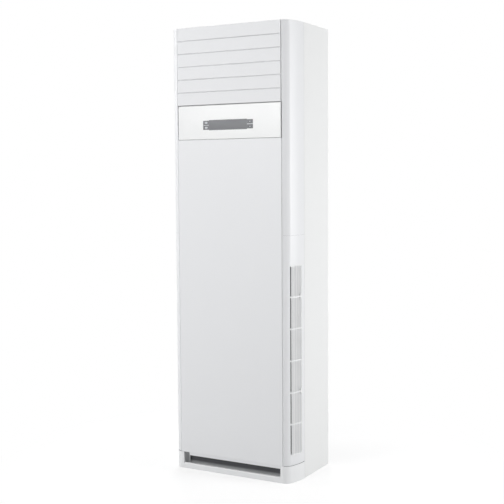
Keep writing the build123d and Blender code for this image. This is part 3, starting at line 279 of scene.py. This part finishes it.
def bead_foam():
    # Expanded polystyrene: closed white beads of about 4 mm with fine dark joints.
    bead = 4 * MM
    material, tree, shader = new_material("expanded_bead_foam", "#EDEDEA", 0.8)
    where = add_node(tree, "ShaderNodeTexCoord")
    cells = add_node(
        tree,
        "ShaderNodeTexVoronoi",
        settings={"feature": "DISTANCE_TO_EDGE"},
        values={"Scale": 1 / bead},
        links={"Vector": where.outputs["Object"]},
    )
    bump = add_node(
        tree,
        "ShaderNodeBump",
        values={"Strength": BUMP_STRENGTH, "Distance": bead / 10},
        links={"Height": cells.outputs["Distance"]},
    )
    tree.links.new(bump.outputs["Normal"], shader.inputs["Normal"])
    return material


def stamped_fins():
    # Stamped aluminium fins: aluminium bands with painted shade of the slots between them. They
    # stand 1.6 mm apart and are drawn five times coarser to show.
    pitch = 5 * 1.6 * MM
    scale = math.pi / (10 * pitch)  # the wave texture repeats every pi / (10 * scale)
    material, tree, shader = new_material("stamped_aluminium_fins_painted_slot_shade", "#C4C7CA", 0.35, Metallic=1.0)
    where = add_node(tree, "ShaderNodeTexCoord")
    lines = add_node(
        tree,
        "ShaderNodeTexWave",
        settings={"bands_direction": "X"},
        values={"Scale": scale},
        links={"Vector": where.outputs["Object"]},
    )
    # The dark tone is painted shade in the slots, the pale one the aluminium.
    shade = add_node(
        tree,
        "ShaderNodeMix",
        settings={"data_type": "RGBA"},
        values={"A": colour("#3C3E40"), "B": colour("#D0D3D6")},
        links={"Factor": lines.outputs["Fac"]},
    )
    tree.links.new(shade.outputs["Result"], shader.inputs["Base Color"])
    return material


# Woven nylon net of the intake filters: dull dark threads.
filter_net = grained_plastic("dark_filter_net", "#5A5E63", 0.6, grain_mm=1.2, height_mm=0.012)

FINISHES = {
    "shell_plastic": moulded_abs("satin_white_abs", "#EAEBED", 0.42),
    "panel_plastic": moulded_abs(
        "smooth_white_abs", "#EBECEE", 0.36, grain_mm=2.0, height_mm=0.006
    ),
    "control_plastic": moulded_abs(
        "polished_white_abs", "#F3F4F4", 0.16, grain_mm=6.0, height_mm=0.004
    ),
    "cabinet_paint": powder_coat(),
    "zinc_steel": zinc_sheet(),
    "dark_paint": primer_with_painted_light(),
    "display_tint": tinted_window("tinted_polished_window", "#6B6D71"),
    "button_plastic": moulded_abs("light_grey_key_abs", "#C9CCD0", 0.4),
    "board_laminate": laminate(),
    "foam": bead_foam(),
    "inner_plastic": moulded_abs("plain_grey_abs", "#D6D7D8", 0.5),
    "blower_plastic": moulded_abs("dark_blower_abs", "#2B2C2E", 0.5),
    "motor_shell": plated_shell("plated_motor_shell", "#A9ABAE", (0.25, 0.42)),
    "shaft_steel": ground_steel(),
    "fin_aluminium": stamped_fins(),
    "copper": copper_tube(),
    "filter_net": filter_net,
}

# The louvre is drawn a shade greyer than the corners, the plinth and the coarser grained
# grilles a shade brighter.
louvre_abs = moulded_abs("satin_louvre_abs", "#E6E7E9", 0.42)
TONED_NODES = {
    "louvre_blade": louvre_abs,
    "outlet_header": louvre_abs,
    "base_plinth": moulded_abs("satin_bright_white_abs", "#F0F1F2", 0.42),
    "intake_grille": moulded_abs(
        "grained_grille_abs", "#EEEFF0", 0.5, grain_mm=0.8, height_mm=0.03
    ),
}


def toned_material(node, finish):
    """The material of a node: its own tone where it has one, otherwise its slot's finish."""
    for word, material in TONED_NODES.items():
        if word in node:
            return material
    return FINISHES[finish]


for part in frame["record"]["subparts"]:
    mesh = frame["nodes"][part["node"]].data
    mesh.materials.clear()
    mesh.materials.append(toned_material(part["node"], part["material_slot"]))


# ------------------------------------------------------------------ separate pieces
WELD = 0.001 * MM  # points nearer to each other than this are one
EASED_EDGE = 0.25 * MM
OUTLINE_STEPS = 6  # along each rounded corner of an outline


def keep(mesh, name, material, body):
    """Puts a mesh in the scene as a piece that rides on a body and takes a material slot."""
    mesh.name = name
    piece = bpy.data.objects.new(name, mesh)
    bpy.context.scene.collection.objects.link(piece)
    mesh.materials.clear()
    mesh.materials.append(material)
    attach(piece, body)


def joined(name, meshes, material, body):
    """One piece made of several meshes."""
    whole = bmesh.new()
    for mesh in meshes:
        whole.from_mesh(mesh)
    result = bpy.data.meshes.new(name)
    whole.to_mesh(result)
    whole.free()
    keep(result, name, material, body)


def face_outwards(mesh):
    """Merges doubled points and turns every face outwards."""
    shell = bmesh.new()
    shell.from_mesh(mesh)
    bmesh.ops.remove_doubles(shell, verts=shell.verts, dist=WELD)
    bmesh.ops.recalc_face_normals(shell, faces=shell.faces)
    shell.to_mesh(mesh)
    shell.free()
    return mesh


def plate_mesh(outline, front, back):
    """A closed plate from an outline of (x, z) points, between two depths y."""
    count = len(outline)
    points = [(x, y, z) for y in (front, back) for x, z in outline]
    faces = [tuple(range(count)), tuple(reversed(range(count, 2 * count)))]
    for i in range(count):
        j = (i + 1) % count
        faces.append((i, i + count, j + count, j))
    mesh = bpy.data.meshes.new("plate")
    mesh.from_pydata(points, [], faces)
    return face_outwards(mesh)


def bar_mesh(low, high):
    """A closed bar between two corners, its long edges eased."""
    shell = bmesh.new()
    bmesh.ops.create_cube(shell, size=1.0)
    span = high - low
    middle = (low + high) / 2
    for point in shell.verts:
        point.co = Vector(point.co[i] * span[i] + middle[i] for i in range(3))
    upright = [e for e in shell.edges if abs(e.verts[0].co.z - e.verts[1].co.z) > span.z / 2]
    bmesh.ops.bevel(shell, geom=upright, offset=EASED_EDGE, segments=2, affect="EDGES")
    mesh = bpy.data.meshes.new("bar")
    shell.to_mesh(mesh)
    shell.free()
    return face_outwards(mesh)


def rounded(x, z, width, height, radius):
    """Outline of a rounded rectangle about (x, z), counter-clockwise seen from the front."""
    points = []
    for corner, (sx, sz) in enumerate(((1, 1), (-1, 1), (-1, -1), (1, -1))):
        for i in range(OUTLINE_STEPS + 1):
            angle = math.pi / 2 * (corner + i / OUTLINE_STEPS)
            point_x = x + sx * (width / 2 - radius) + radius * math.cos(angle)
            point_z = z + sz * (height / 2 - radius) + radius * math.sin(angle)
            points.append((point_x, point_z))
    return points


# ------------------------------------------------------------------ display markings
# A paler screen behind the tint, and plain printed bars beside and on the keys.
PRINT_THICKNESS = 0.06 * MM
# width, height and corner radius of each
SCREEN = (160 * MM, 34 * MM, 3 * MM)
KEY_LINES = (
    (-1, "left", (24 * MM, 2.0 * MM, 0.6 * MM)),
    (1, "right", (26 * MM, 2.6 * MM, 0.6 * MM)),
)
KEY_MARK = (5 * MM, 2.4 * MM, 1.2 * MM)
KEY_LINE_PLACE = 97 * MM  # from the middle of the window


def print_mesh(low, high, size, shift=0.0):
    """A thin rounded plate on the front of a box, in its middle or shifted sideways from it."""
    outline = rounded((low.x + high.x) / 2 + shift, (low.z + high.z) / 2, *size)
    return plate_mesh(outline, low.y - PRINT_THICKNESS, low.y)


screen_tint = tinted_window("unlit_screen_behind_tint", "#686A6E")
ink = screen_print()
lens_low, lens_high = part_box("display_window")
screen = print_mesh(lens_low, lens_high, SCREEN)
keep(screen, "screen_pane", screen_tint, "cabinet")
for side, word, size in KEY_LINES:
    bar = print_mesh(lens_low, lens_high, size, side * KEY_LINE_PLACE)
    keep(bar, f"{word}_key_line", ink, "cabinet")
for word in ("upper", "lower"):
    key = f"button_{word}_right"
    key_low, key_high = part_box(key)
    mark = print_mesh(key_low, key_high, KEY_MARK)
    keep(mark, f"{word}_right_key_mark", ink, key)


# ------------------------------------------------------------------ seal strips
# A soft white strip fills the seam between each moulded side and its steel panel.
SEAM_WIDTH = 3.0 * MM
SEAM_PLAY = 0.3 * MM  # between the strip and the steel panel
STRIP_INSET = 0.12 * MM  # behind the panel's face, and from the moulding
STRIP_THICKNESS = 1.2 * MM
STRIP_ENDS = (1 * MM, TOP - 1 * MM)

# Extruded elastomer: dull, with a fine dry grain.
seal_rubber = grained_plastic(
    "white_seal_elastomer", "#E4E5E6", 0.6, grain_mm=0.8, height_mm=0.01
)
for side, word in SIDES:
    panel_low, panel_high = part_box(f"{word}_side_panel")
    outer = panel_high.x if side > 0 else panel_low.x
    near, far = outer - side * STRIP_INSET, outer - side * (STRIP_INSET + STRIP_THICKNESS)
    back = panel_low.y - SEAM_PLAY
    strip = bar_mesh(
        Vector((min(near, far), back - SEAM_WIDTH + STRIP_INSET, STRIP_ENDS[0])),
        Vector((max(near, far), back, STRIP_ENDS[1])),
    )
    keep(strip, f"{word}_seal_strip", seal_rubber, "cabinet")

# White pile strips on the corners close the sight past the blades' ends and, thinner, past
# the front panel's edges.
PILE_OUTER = 229.8 * MM
PILE_DEPTH = (2.5 * MM, 6.4 * MM)  # front and back, behind the cabinet's front
LOUVRE_PILE_INNER = 227.2 * MM
PANEL_PILE_INNER = 228.4 * MM
PILE_TOP_PLAY = 2 * MM  # below the top of the header

# Woven pile of cut white fibres: no gloss at all, and a rough nap.
pile = grained_plastic("white_pile_seal", "#EDEEEF", 0.9, grain_mm=0.7, height_mm=0.15)
pile_strips = (
    (
        "louvre",
        LOUVRE_PILE_INNER,
        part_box("louvre_blade_1")[0].z,
        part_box("outlet_header")[1].z - PILE_TOP_PLAY,
    ),
    ("panel", PANEL_PILE_INNER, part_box("lower_right_corner")[0].z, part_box("front_panel")[1].z),
)
for side, word in SIDES:
    for name, inner, low_z, high_z in pile_strips:
        ends = sorted((side * inner, side * PILE_OUTER))
        strip = bar_mesh(
            Vector((ends[0], FRONT + PILE_DEPTH[0], low_z)),
            Vector((ends[1], FRONT + PILE_DEPTH[1], high_z)),
        )
        keep(strip, f"{word}_{name}_seal", pile, "cabinet")


# ------------------------------------------------------------------ painted seam shade
# A thin dark grey ribbon, painted shade of the seam, lies in the step between each lower
# corner and the plinth. It follows the corner's plan: a short arc from the front panel to
# the crease, then the long flank.
OPENING_HALF = 230.0 * MM
FRONT_START = 1.0 * MM  # behind the cabinet's front
LEAD = math.radians(10)  # how far the short arc starts turned back from the front
CREASE = (17.0 * MM, 18.0 * MM)  # inside the cabinet's side, behind its front
FLANK_DEPTH = 105.0 * MM  # behind the front, where the flank would run straight back
FLANK_END = 101.5 * MM  # behind the front, at the seam
FLANK_RADIUS = (CREASE[0] ** 2 + (FLANK_DEPTH - CREASE[1]) ** 2) / (2 * CREASE[0])
PLAN_STEPS = 10
# where the ribbon's outer and inner faces lie, inside the corner's face
SHADE_RIBBON_OUTER = 0.3 * MM
SHADE_RIBBON_INNER = 1.3 * MM
FOOT_HEIGHT = 1.0 * MM
JOINT_HEIGHT = 0.24 * MM
# free space under each, so that it touches no moulding
FOOT_PLAY = 0.02 * MM
JOINT_PLAY = 0.03 * MM


def direction(angle):
    """The unit vector at an angle in a plane."""
    return Vector((math.cos(angle), math.sin(angle)))


def corner_path():
    """Points of the right corner's plan with their outward directions."""
    path = []
    start = Vector((OPENING_HALF, FRONT + FRONT_START))
    crease = Vector((RIGHT - CREASE[0], FRONT + CREASE[1]))
    inward = Vector((-math.sin(LEAD), math.cos(LEAD)))
    chord = crease - start
    radius = chord.length_squared / (2 * chord.dot(inward))
    centre = start + radius * inward
    first = math.atan2(start.y - centre.y, start.x - centre.x)
    last = math.atan2(crease.y - centre.y, crease.x - centre.x)
    for i in range(1, PLAN_STEPS + 1):
        way = direction(first + (last - first) * i / PLAN_STEPS)
        path.append((centre + radius * way, way))
    centre = Vector((RIGHT - FLANK_RADIUS, FRONT + FLANK_DEPTH))
    for i in range(1, PLAN_STEPS + 1):
        y = crease.y + (FRONT + FLANK_END - crease.y) * i / PLAN_STEPS
        way = direction(math.asin((y - centre.y) / FLANK_RADIUS))
        path.append((centre + FLANK_RADIUS * way, way))
    return path


def seam_shade_mesh(side, low_z, height):
    """A closed ribbon along the corner's plan."""
    shell = bmesh.new()
    rings = []
    for point, way in corner_path():
        near, far = point - way * SHADE_RIBBON_OUTER, point - way * SHADE_RIBBON_INNER
        corners = ((near, 0), (near, height), (far, height), (far, 0))
        rings.append(
            [shell.verts.new((side * edge.x, edge.y, low_z + rise)) for edge, rise in corners]
        )
    for ring, following in zip(rings, rings[1:]):
        for i in range(4):
            j = (i + 1) % 4
            shell.faces.new((ring[i], ring[j], following[j], following[i]))
    shell.faces.new(rings[0])
    shell.faces.new(list(reversed(rings[-1])))
    mesh = bpy.data.meshes.new("gasket")
    shell.to_mesh(mesh)
    shell.free()
    return face_outwards(mesh)


# Painted shade in the seams: a matt dark grey strip with a fine grain.
painted_seam_shade = grained_plastic("dark_grey_painted_seam_shade", "#5C5E62", 0.8, grain_mm=0.6, height_mm=0.05)
for side, word in SIDES:
    plinth_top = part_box("base_plinth")[1].z
    foot = seam_shade_mesh(side, plinth_top + FOOT_PLAY, FOOT_HEIGHT)
    keep(foot, f"{word}_foot_gasket", painted_seam_shade, "cabinet")
    # The same painted shade, thinner, draws the joint between the lower and the upper corner.
    corner_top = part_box(f"lower_{word}_corner")[1].z
    joint = seam_shade_mesh(side, corner_top + JOINT_PLAY, JOINT_HEIGHT)
    keep(joint, f"{word}_joint_gasket", painted_seam_shade, "cabinet")


# ------------------------------------------------------------------ repeated pieces
class Tree:
    """A Geometry Nodes tree with named inputs, closed by Realize Instances and Set Material."""

    def __init__(self, name):
        self.group = bpy.data.node_groups.new(name, "GeometryNodeTree")
        self.values = {}
        for way in ("INPUT", "OUTPUT"):
            self.group.interface.new_socket(
                "Geometry", in_out=way, socket_type="NodeSocketGeometry"
            )
        self.start = self.group.nodes.new("NodeGroupInput")

    def size(self, name, value, kind="NodeSocketFloat"):
        """Adds a named input, to be set on the modifier, and returns its socket in the tree."""
        socket = self.group.interface.new_socket(name, in_out="INPUT", socket_type=kind)
        self.values[socket.identifier] = value
        return self.start.outputs[name]

    def node(self, kind, settings=None, values=None, links=None):
        """Adds a node to this tree as add_node does."""
        return add_node(self.group, kind, settings, values, links)

    def close(self, source, material):
        """Ends the tree: makes the copies real, gives them their material and puts them out."""
        real = self.node("GeometryNodeRealizeInstances", links={"Geometry": source})
        coat = self.node(
            "GeometryNodeSetMaterial",
            values={"Material": material},
            links={"Geometry": real.outputs["Geometry"]},
        )
        self.node("NodeGroupOutput", links={"Geometry": coat.outputs["Geometry"]})

    def bake(self, points=()):
        """The tree's result as a plain mesh; points become the vertices it starts from."""
        seed = bpy.data.meshes.new("seed")
        seed.from_pydata(points, [], [])
        holder = bpy.data.objects.new("seed", seed)
        bpy.context.scene.collection.objects.link(holder)
        modifier = holder.modifiers.new("nodes", "NODES")
        modifier.node_group = self.group
        for identifier, value in self.values.items():
            modifier[identifier] = value
        shape = holder.evaluated_get(bpy.context.evaluated_depsgraph_get())
        mesh = bpy.data.meshes.new_from_object(shape)
        holder.modifiers.remove(modifier)
        bpy.data.objects.remove(holder)
        return mesh


# Zinc plated steel screws hold the back panel.
HEAD_RADIUS = 3.6 * MM
HEAD_RISE = 2.2 * MM
HEAD_SIDES = 24
# shares of the head's radius and rise: its side and crown from the seat upwards
HEAD_PROFILE = ((1.0, 0.0), (1.0, 0.35), (0.86, 0.72), (0.6, 0.93))
# the cross recess, in the same shares: the reach of its arms and of the corners between
# them, the height of its floor, and how much wider its rim is and how high
RECESS_ARMS = 4
RECESS_ARM = 0.42
RECESS_CORNER = 0.14
RECESS_FLOOR = 0.45
RECESS_FLARE = 1.12
RECESS_RIM = 0.95
SEAT_DEPTH = 0.02 * MM  # how far the heads sink into the sheet


def screw_head():
    """A pan head with a cross recess, its seat at the origin and its top along +Y."""
    shell = bmesh.new()
    ways = [direction(2 * math.pi * i / HEAD_SIDES) for i in range(HEAD_SIDES)]

    def ring(reaches, height):
        """Points about the axis at one height, each at its own share of the radius."""
        return [
            shell.verts.new(
                (reach * HEAD_RADIUS * way.x, height * HEAD_RISE, reach * HEAD_RADIUS * way.y)
            )
            for reach, way in zip(reaches, ways)
        ]

    between = HEAD_SIDES // RECESS_ARMS
    star = [RECESS_CORNER if i % between else RECESS_ARM for i in range(HEAD_SIDES)]
    rows = [ring([reach] * HEAD_SIDES, height) for reach, height in HEAD_PROFILE]
    rows.append(ring([RECESS_FLARE * reach for reach in star], RECESS_RIM))
    rows.append(ring(star, RECESS_FLOOR))
    for low, high in zip(rows, rows[1:]):
        for i in range(HEAD_SIDES):
            j = (i + 1) % HEAD_SIDES
            shell.faces.new((low[i], low[j], high[j], high[i]))
    shell.faces.new(rows[0])
    shell.faces.new(list(reversed(rows[-1])))
    bmesh.ops.recalc_face_normals(shell, faces=shell.faces)
    mesh = bpy.data.meshes.new("screw_head")
    shell.to_mesh(mesh)
    shell.free()
    head = bpy.data.objects.new("screw_head", mesh)
    bpy.context.scene.collection.objects.link(head)
    return head


def screw_row(head, count, span, y, z):
    """Screws along X, spread evenly over a span about the cabinet's middle."""
    tree = Tree("screw_row")
    line = tree.node(
        "GeometryNodeMeshLine",
        settings={"mode": "END_POINTS"},
        links={
            "Count": tree.size("Count", count, "NodeSocketInt"),
            "Start Location": tree.size("Start", (-span / 2, y, z), "NodeSocketVector"),
            "Offset": tree.size("End", (span / 2, y, z), "NodeSocketVector"),
        },
    )
    thing = tree.node("GeometryNodeObjectInfo", values={"Object": head})
    copies = tree.node(
        "GeometryNodeInstanceOnPoints",
        links={"Points": line.outputs["Mesh"], "Instance": thing.outputs["Geometry"]},
    )
    tree.close(copies.outputs["Instances"], zinc_screw)
    return tree.bake()


zinc_screw = plated_shell("zinc_plated_screw", "#B9BCC0", (0.22, 0.4))
back_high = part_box("back_panel")[1]
deck_low, deck_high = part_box("blower_deck")
# how many, over which span, and how high: into the top cover, the deck and the pan
SCREW_ROWS = (
    (3, 440 * MM, back_high.z - 8 * MM),
    (3, 480 * MM, (deck_low.z + deck_high.z) / 2),
    (4, 480 * MM, 22 * MM),
)
screw = screw_head()
screws = [
    screw_row(screw, count, span, back_high.y - SEAT_DEPTH, z) for count, span, z in SCREW_ROWS
]
bpy.data.objects.remove(screw)
joined("back_screws", screws, zinc_screw, "cabinet")


# Fine net of the intake filters; the real threads are about 1 mm apart, drawn 3 mm apart.
NET_PITCH = 3 * MM
NET_THREAD = 0.5 * MM
NET_BORDER = 4 * MM  # the filter's own frame around the net
Y, Z = 1, 2  # places of the axes in a point


def thread_set(count, start, step, size):
    """Parallel threads of the net, each a thin bar."""
    tree = Tree("filter_threads")
    line = tree.node(
        "GeometryNodeMeshLine",
        links={
            "Count": tree.size("Count", count, "NodeSocketInt"),
            "Start Location": tree.size("Start", start, "NodeSocketVector"),
            "Offset": tree.size("Step", step, "NodeSocketVector"),
        },
    )
    thread = tree.node(
        "GeometryNodeMeshCube", links={"Size": tree.size("Thread", size, "NodeSocketVector")}
    )
    copies = tree.node(
        "GeometryNodeInstanceOnPoints",
        links={"Points": line.outputs["Mesh"], "Instance": thread.outputs["Mesh"]},
    )
    tree.close(copies.outputs["Instances"], filter_net)
    return tree.bake()


def net_meshes(low, high):
    """Upright and level threads over a box's middle plane, square to X."""
    meshes = []
    for along, across in ((Z, Y), (Y, Z)):
        count = int((high[across] - low[across]) / NET_PITCH)
        start = [(low[i] + high[i]) / 2 for i in range(3)]
        start[across] -= (count - 1) * NET_PITCH / 2
        step = [0.0, 0.0, 0.0]
        step[across] = NET_PITCH
        size = [NET_THREAD, NET_THREAD, NET_THREAD]
        size[along] = high[along] - low[along]
        meshes.append(thread_set(count, start, step, size))
    return meshes


for word in ("left", "right"):
    low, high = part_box(f"{word}_filter")
    border = Vector((0, NET_BORDER, NET_BORDER))
    threads = net_meshes(low + border, high - border)
    joined(f"{word}_filter_net", threads, filter_net, f"{word}_intake")


# The intake slats are rolled at both edges; the outer rolls draw the grilles' upright lines.
SLAT_COUNT = 4
SLAT_PITCH = 14.3 * MM
SLAT_FIRST = 37.0 * MM  # outer edge of the first slat, behind the cabinet's front
SLAT_RECESS = 1.5 * MM  # inside the corner's face
SLAT_LENGTH = 11.0 * MM
SLAT_THICKNESS = 1.8 * MM
SLAT_LEAN = math.sqrt(0.5)  # sine and cosine of the slats' 45 degrees
# radius of each roll, and how far its axis lies inwards of the slat's outer edge
OUTER_ROLL = (1.5 * MM, 0.5 * MM)
INNER_ROLL = (1.15 * MM, SLAT_LENGTH)
ROLL_SIDES = 16
ROLL_PLAY = 1 * MM  # how much shorter a roll is than the grille


def roll_points(side, inwards, middle_z):
    """Axes of one roll per slat on its middle plane, which leans 45 degrees inwards."""
    points = []
    for i in range(SLAT_COUNT):
        depth = SLAT_FIRST + i * SLAT_PITCH
        flank = RIGHT - FLANK_RADIUS + math.sqrt(FLANK_RADIUS**2 - (FLANK_DEPTH - depth) ** 2)
        x = flank - SLAT_RECESS + SLAT_THICKNESS / 2 * SLAT_LEAN
        y = FRONT + depth - SLAT_THICKNESS / 2 * SLAT_LEAN
        points.append((side * (x - inwards * SLAT_LEAN), y - inwards * SLAT_LEAN, middle_z))
    return points


def roll_mesh(points, radius, length):
    """Upright rods of one length, one about each point."""
    tree = Tree("slat_rolls")
    rod = tree.node(
        "GeometryNodeMeshCylinder",
        values={"Vertices": ROLL_SIDES},
        links={"Radius": tree.size("Radius", radius), "Depth": tree.size("Length", length)},
    )
    copies = tree.node(
        "GeometryNodeInstanceOnPoints",
        links={"Points": tree.start.outputs["Geometry"], "Instance": rod.outputs["Mesh"]},
    )
    tree.close(copies.outputs["Instances"], highlight_edge_abs)
    return tree.bake(points)


# The rolls are smoother than the slats, and their tone is drawn brighter: a painted highlight
# along each roll.
highlight_edge_abs = moulded_abs("smooth_slat_edge_abs_painted_highlight", "#FCFCFC", 0.3, grain_mm=2.0, height_mm=0.004)
for side, word in SIDES:
    low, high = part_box(f"{word}_intake_grille")
    middle_z, length = (low.z + high.z) / 2, high.z - low.z - ROLL_PLAY
    rolls = [
        roll_mesh(roll_points(side, inwards, middle_z), radius, length)
        for radius, inwards in (OUTER_ROLL, INNER_ROLL)
    ]
    joined(f"{word}_slat_rolls", rolls, highlight_edge_abs, f"{word}_intake")


# ------------------------------------------------------------------ camera
# Solved on the edges of the cabinet in the photograph.
CAMERA_PLACE = (1.9133, -3.45411, 1.16909)
YAW = math.radians(-28.838)
PITCH = math.radians(-4.328)
ROLL = math.radians(-0.366)
FOCAL_LENGTH = 70.496  # for a sensor 36 mm wide
SENSOR_WIDTH = 36.0
FAR_LIMIT = 50

forward = Vector(
    (math.sin(YAW) * math.cos(PITCH), math.cos(YAW) * math.cos(PITCH), math.sin(PITCH))
)
level_right = Vector((math.cos(YAW), -math.sin(YAW), 0))
level_up = level_right.cross(forward)
right = math.cos(ROLL) * level_right + math.sin(ROLL) * level_up
up = math.cos(ROLL) * level_up - math.sin(ROLL) * level_right
camera_data = bpy.data.cameras.new("camera")
camera_data.lens = FOCAL_LENGTH
camera_data.sensor_width = SENSOR_WIDTH
camera_data.clip_end = FAR_LIMIT
camera = bpy.data.objects.new("camera", camera_data)
turn = Matrix((right, up, -forward)).transposed()
camera.matrix_world = Matrix.Translation(CAMERA_PLACE) @ turn.to_4x4()
bpy.context.scene.collection.objects.link(camera)
bpy.context.scene.camera = camera


# ------------------------------------------------------------------ light
# name, place, what it looks at, side length in metres, power in watts
LAMPS = (
    ("left_grazing", (-3.4, -1.6, 2.4), (0, -0.16, 1.1), 1.6, 48.2),
    ("front_high", (-1.4, -3.6, 2.4), (0, -0.16, 1.1), 1.8, 38.0),
    ("front_level", (-0.6, -4.0, 1.3), (0, -0.16, 1.0), 2.0, 32.3),
    ("front_right", (1.5, -3.9, 1.3), (0, -0.16, 1.0), 1.6, 17.0),
    ("right_side", (4.2, 1.0, 1.5), (0.27, 0, 0.9), 2.0, 94.0),
    ("right_low", (2.6, 0.7, 0.7), (0.27, 0, 0.5), 1.2, 9.4),
    ("rear_left", (-2.2, 3.8, 2.6), (-0.1, 0.16, 1.0), 1.8, 75.0),
    ("overhead", (0, 0.9, 4.2), (0, 0.1, 1.75), 1.8, 24.0),
)
AMBIENT = 0.197  # what the white surroundings give to the object, where 1 is white


def soft_lamp(name, spot, target, size, power):
    """A square softbox that looks at a target."""
    data = bpy.data.lights.new(name, "AREA")
    data.shape = "SQUARE"
    data.size = size
    data.energy = power
    lamp = bpy.data.objects.new(name, data)
    turn = (Vector(target) - Vector(spot)).to_track_quat("-Z", "Y").to_matrix()
    lamp.matrix_world = Matrix.Translation(spot) @ turn.to_4x4()
    bpy.context.scene.collection.objects.link(lamp)


def studio_world():
    """White surroundings for the eye, in gloss and through clear plastic, but dimmer as light."""
    world = bpy.data.worlds.new("studio")
    world.use_nodes = True
    bpy.context.scene.world = world
    sky = world.node_tree
    sky.nodes.clear()
    rays = add_node(sky, "ShaderNodeLightPath")
    seen = add_node(
        sky,
        "ShaderNodeMath",
        settings={"operation": "MAXIMUM"},
        links={0: rays.outputs["Is Camera Ray"], 1: rays.outputs["Is Glossy Ray"]},
    )
    shown = add_node(
        sky,
        "ShaderNodeMath",
        settings={"operation": "MAXIMUM"},
        links={0: seen.outputs["Value"], 1: rays.outputs["Is Transmission Ray"]},
    )
    strength = add_node(
        sky,
        "ShaderNodeMapRange",
        values={"To Min": AMBIENT, "To Max": 1.0},
        links={"Value": shown.outputs["Value"]},
    )
    glow = add_node(
        sky,
        "ShaderNodeBackground",
        values={"Color": WHITE},
        links={"Strength": strength.outputs["Result"]},
    )
    add_node(sky, "ShaderNodeOutputWorld", links={"Surface": glow.outputs["Background"]})


for lamp in LAMPS:
    soft_lamp(*lamp)
studio_world()


# ------------------------------------------------------------------ floor
FLOOR_HALF = 12.0
SHADOW_REACH = (0.55, 1.05)  # metres from the middle over which the floor fades to plain white
PAPER_TONE = "#B8B8B8"
FLOOR_LIFT = 0.6  # lifts the lit paper to white for the eye


def studio_floor():
    """Matt white paper that keeps the cabinet's soft shadow and is plain white further off."""
    mesh = bpy.data.meshes.new("floor")
    edge = FLOOR_HALF
    corners = [(-edge, -edge, 0), (edge, -edge, 0), (edge, edge, 0), (-edge, edge, 0)]
    mesh.from_pydata(corners, [], [(0, 1, 2, 3)])
    floor = bpy.data.objects.new("floor", mesh)
    bpy.context.scene.collection.objects.link(floor)
    material = bpy.data.materials.new("matt_white_paper")
    material.use_nodes = True
    tree = material.node_tree
    tree.nodes.clear()
    rays = add_node(tree, "ShaderNodeLightPath")
    seen = add_node(
        tree,
        "ShaderNodeMath",
        settings={"operation": "MAXIMUM"},
        links={0: rays.outputs["Is Camera Ray"], 1: rays.outputs["Is Glossy Ray"]},
    )
    lift = add_node(
        tree,
        "ShaderNodeMath",
        settings={"operation": "MULTIPLY"},
        values={1: FLOOR_LIFT},
        links={0: seen.outputs["Value"]},
    )
    paper = add_node(tree, "ShaderNodeBsdfDiffuse", values={"Color": colour(PAPER_TONE)})
    raised = add_node(
        tree,
        "ShaderNodeEmission",
        values={"Color": WHITE},
        links={"Strength": lift.outputs["Value"]},
    )
    lit = add_node(
        tree,
        "ShaderNodeAddShader",
        links={0: paper.outputs["BSDF"], 1: raised.outputs["Emission"]},
    )
    where = add_node(tree, "ShaderNodeTexCoord")
    distance = add_node(
        tree,
        "ShaderNodeVectorMath",
        settings={"operation": "LENGTH"},
        links={0: where.outputs["Object"]},
    )
    fade = add_node(
        tree,
        "ShaderNodeMapRange",
        settings={"interpolation_type": "SMOOTHSTEP"},
        values={"From Min": SHADOW_REACH[0], "From Max": SHADOW_REACH[1]},
        links={"Value": distance.outputs["Value"]},
    )
    share = add_node(
        tree,
        "ShaderNodeMath",
        settings={"operation": "MULTIPLY"},
        links={0: fade.outputs["Result"], 1: seen.outputs["Value"]},
    )
    white = add_node(tree, "ShaderNodeEmission", values={"Color": WHITE, "Strength": 1.0})
    mixed = add_node(
        tree,
        "ShaderNodeMixShader",
        links={0: share.outputs["Value"], 1: lit.outputs["Shader"], 2: white.outputs["Emission"]},
    )
    add_node(tree, "ShaderNodeOutputMaterial", links={"Surface": mixed.outputs["Shader"]})
    mesh.materials.append(material)


studio_floor()

scene = bpy.context.scene
scene.view_settings.view_transform = "Standard"
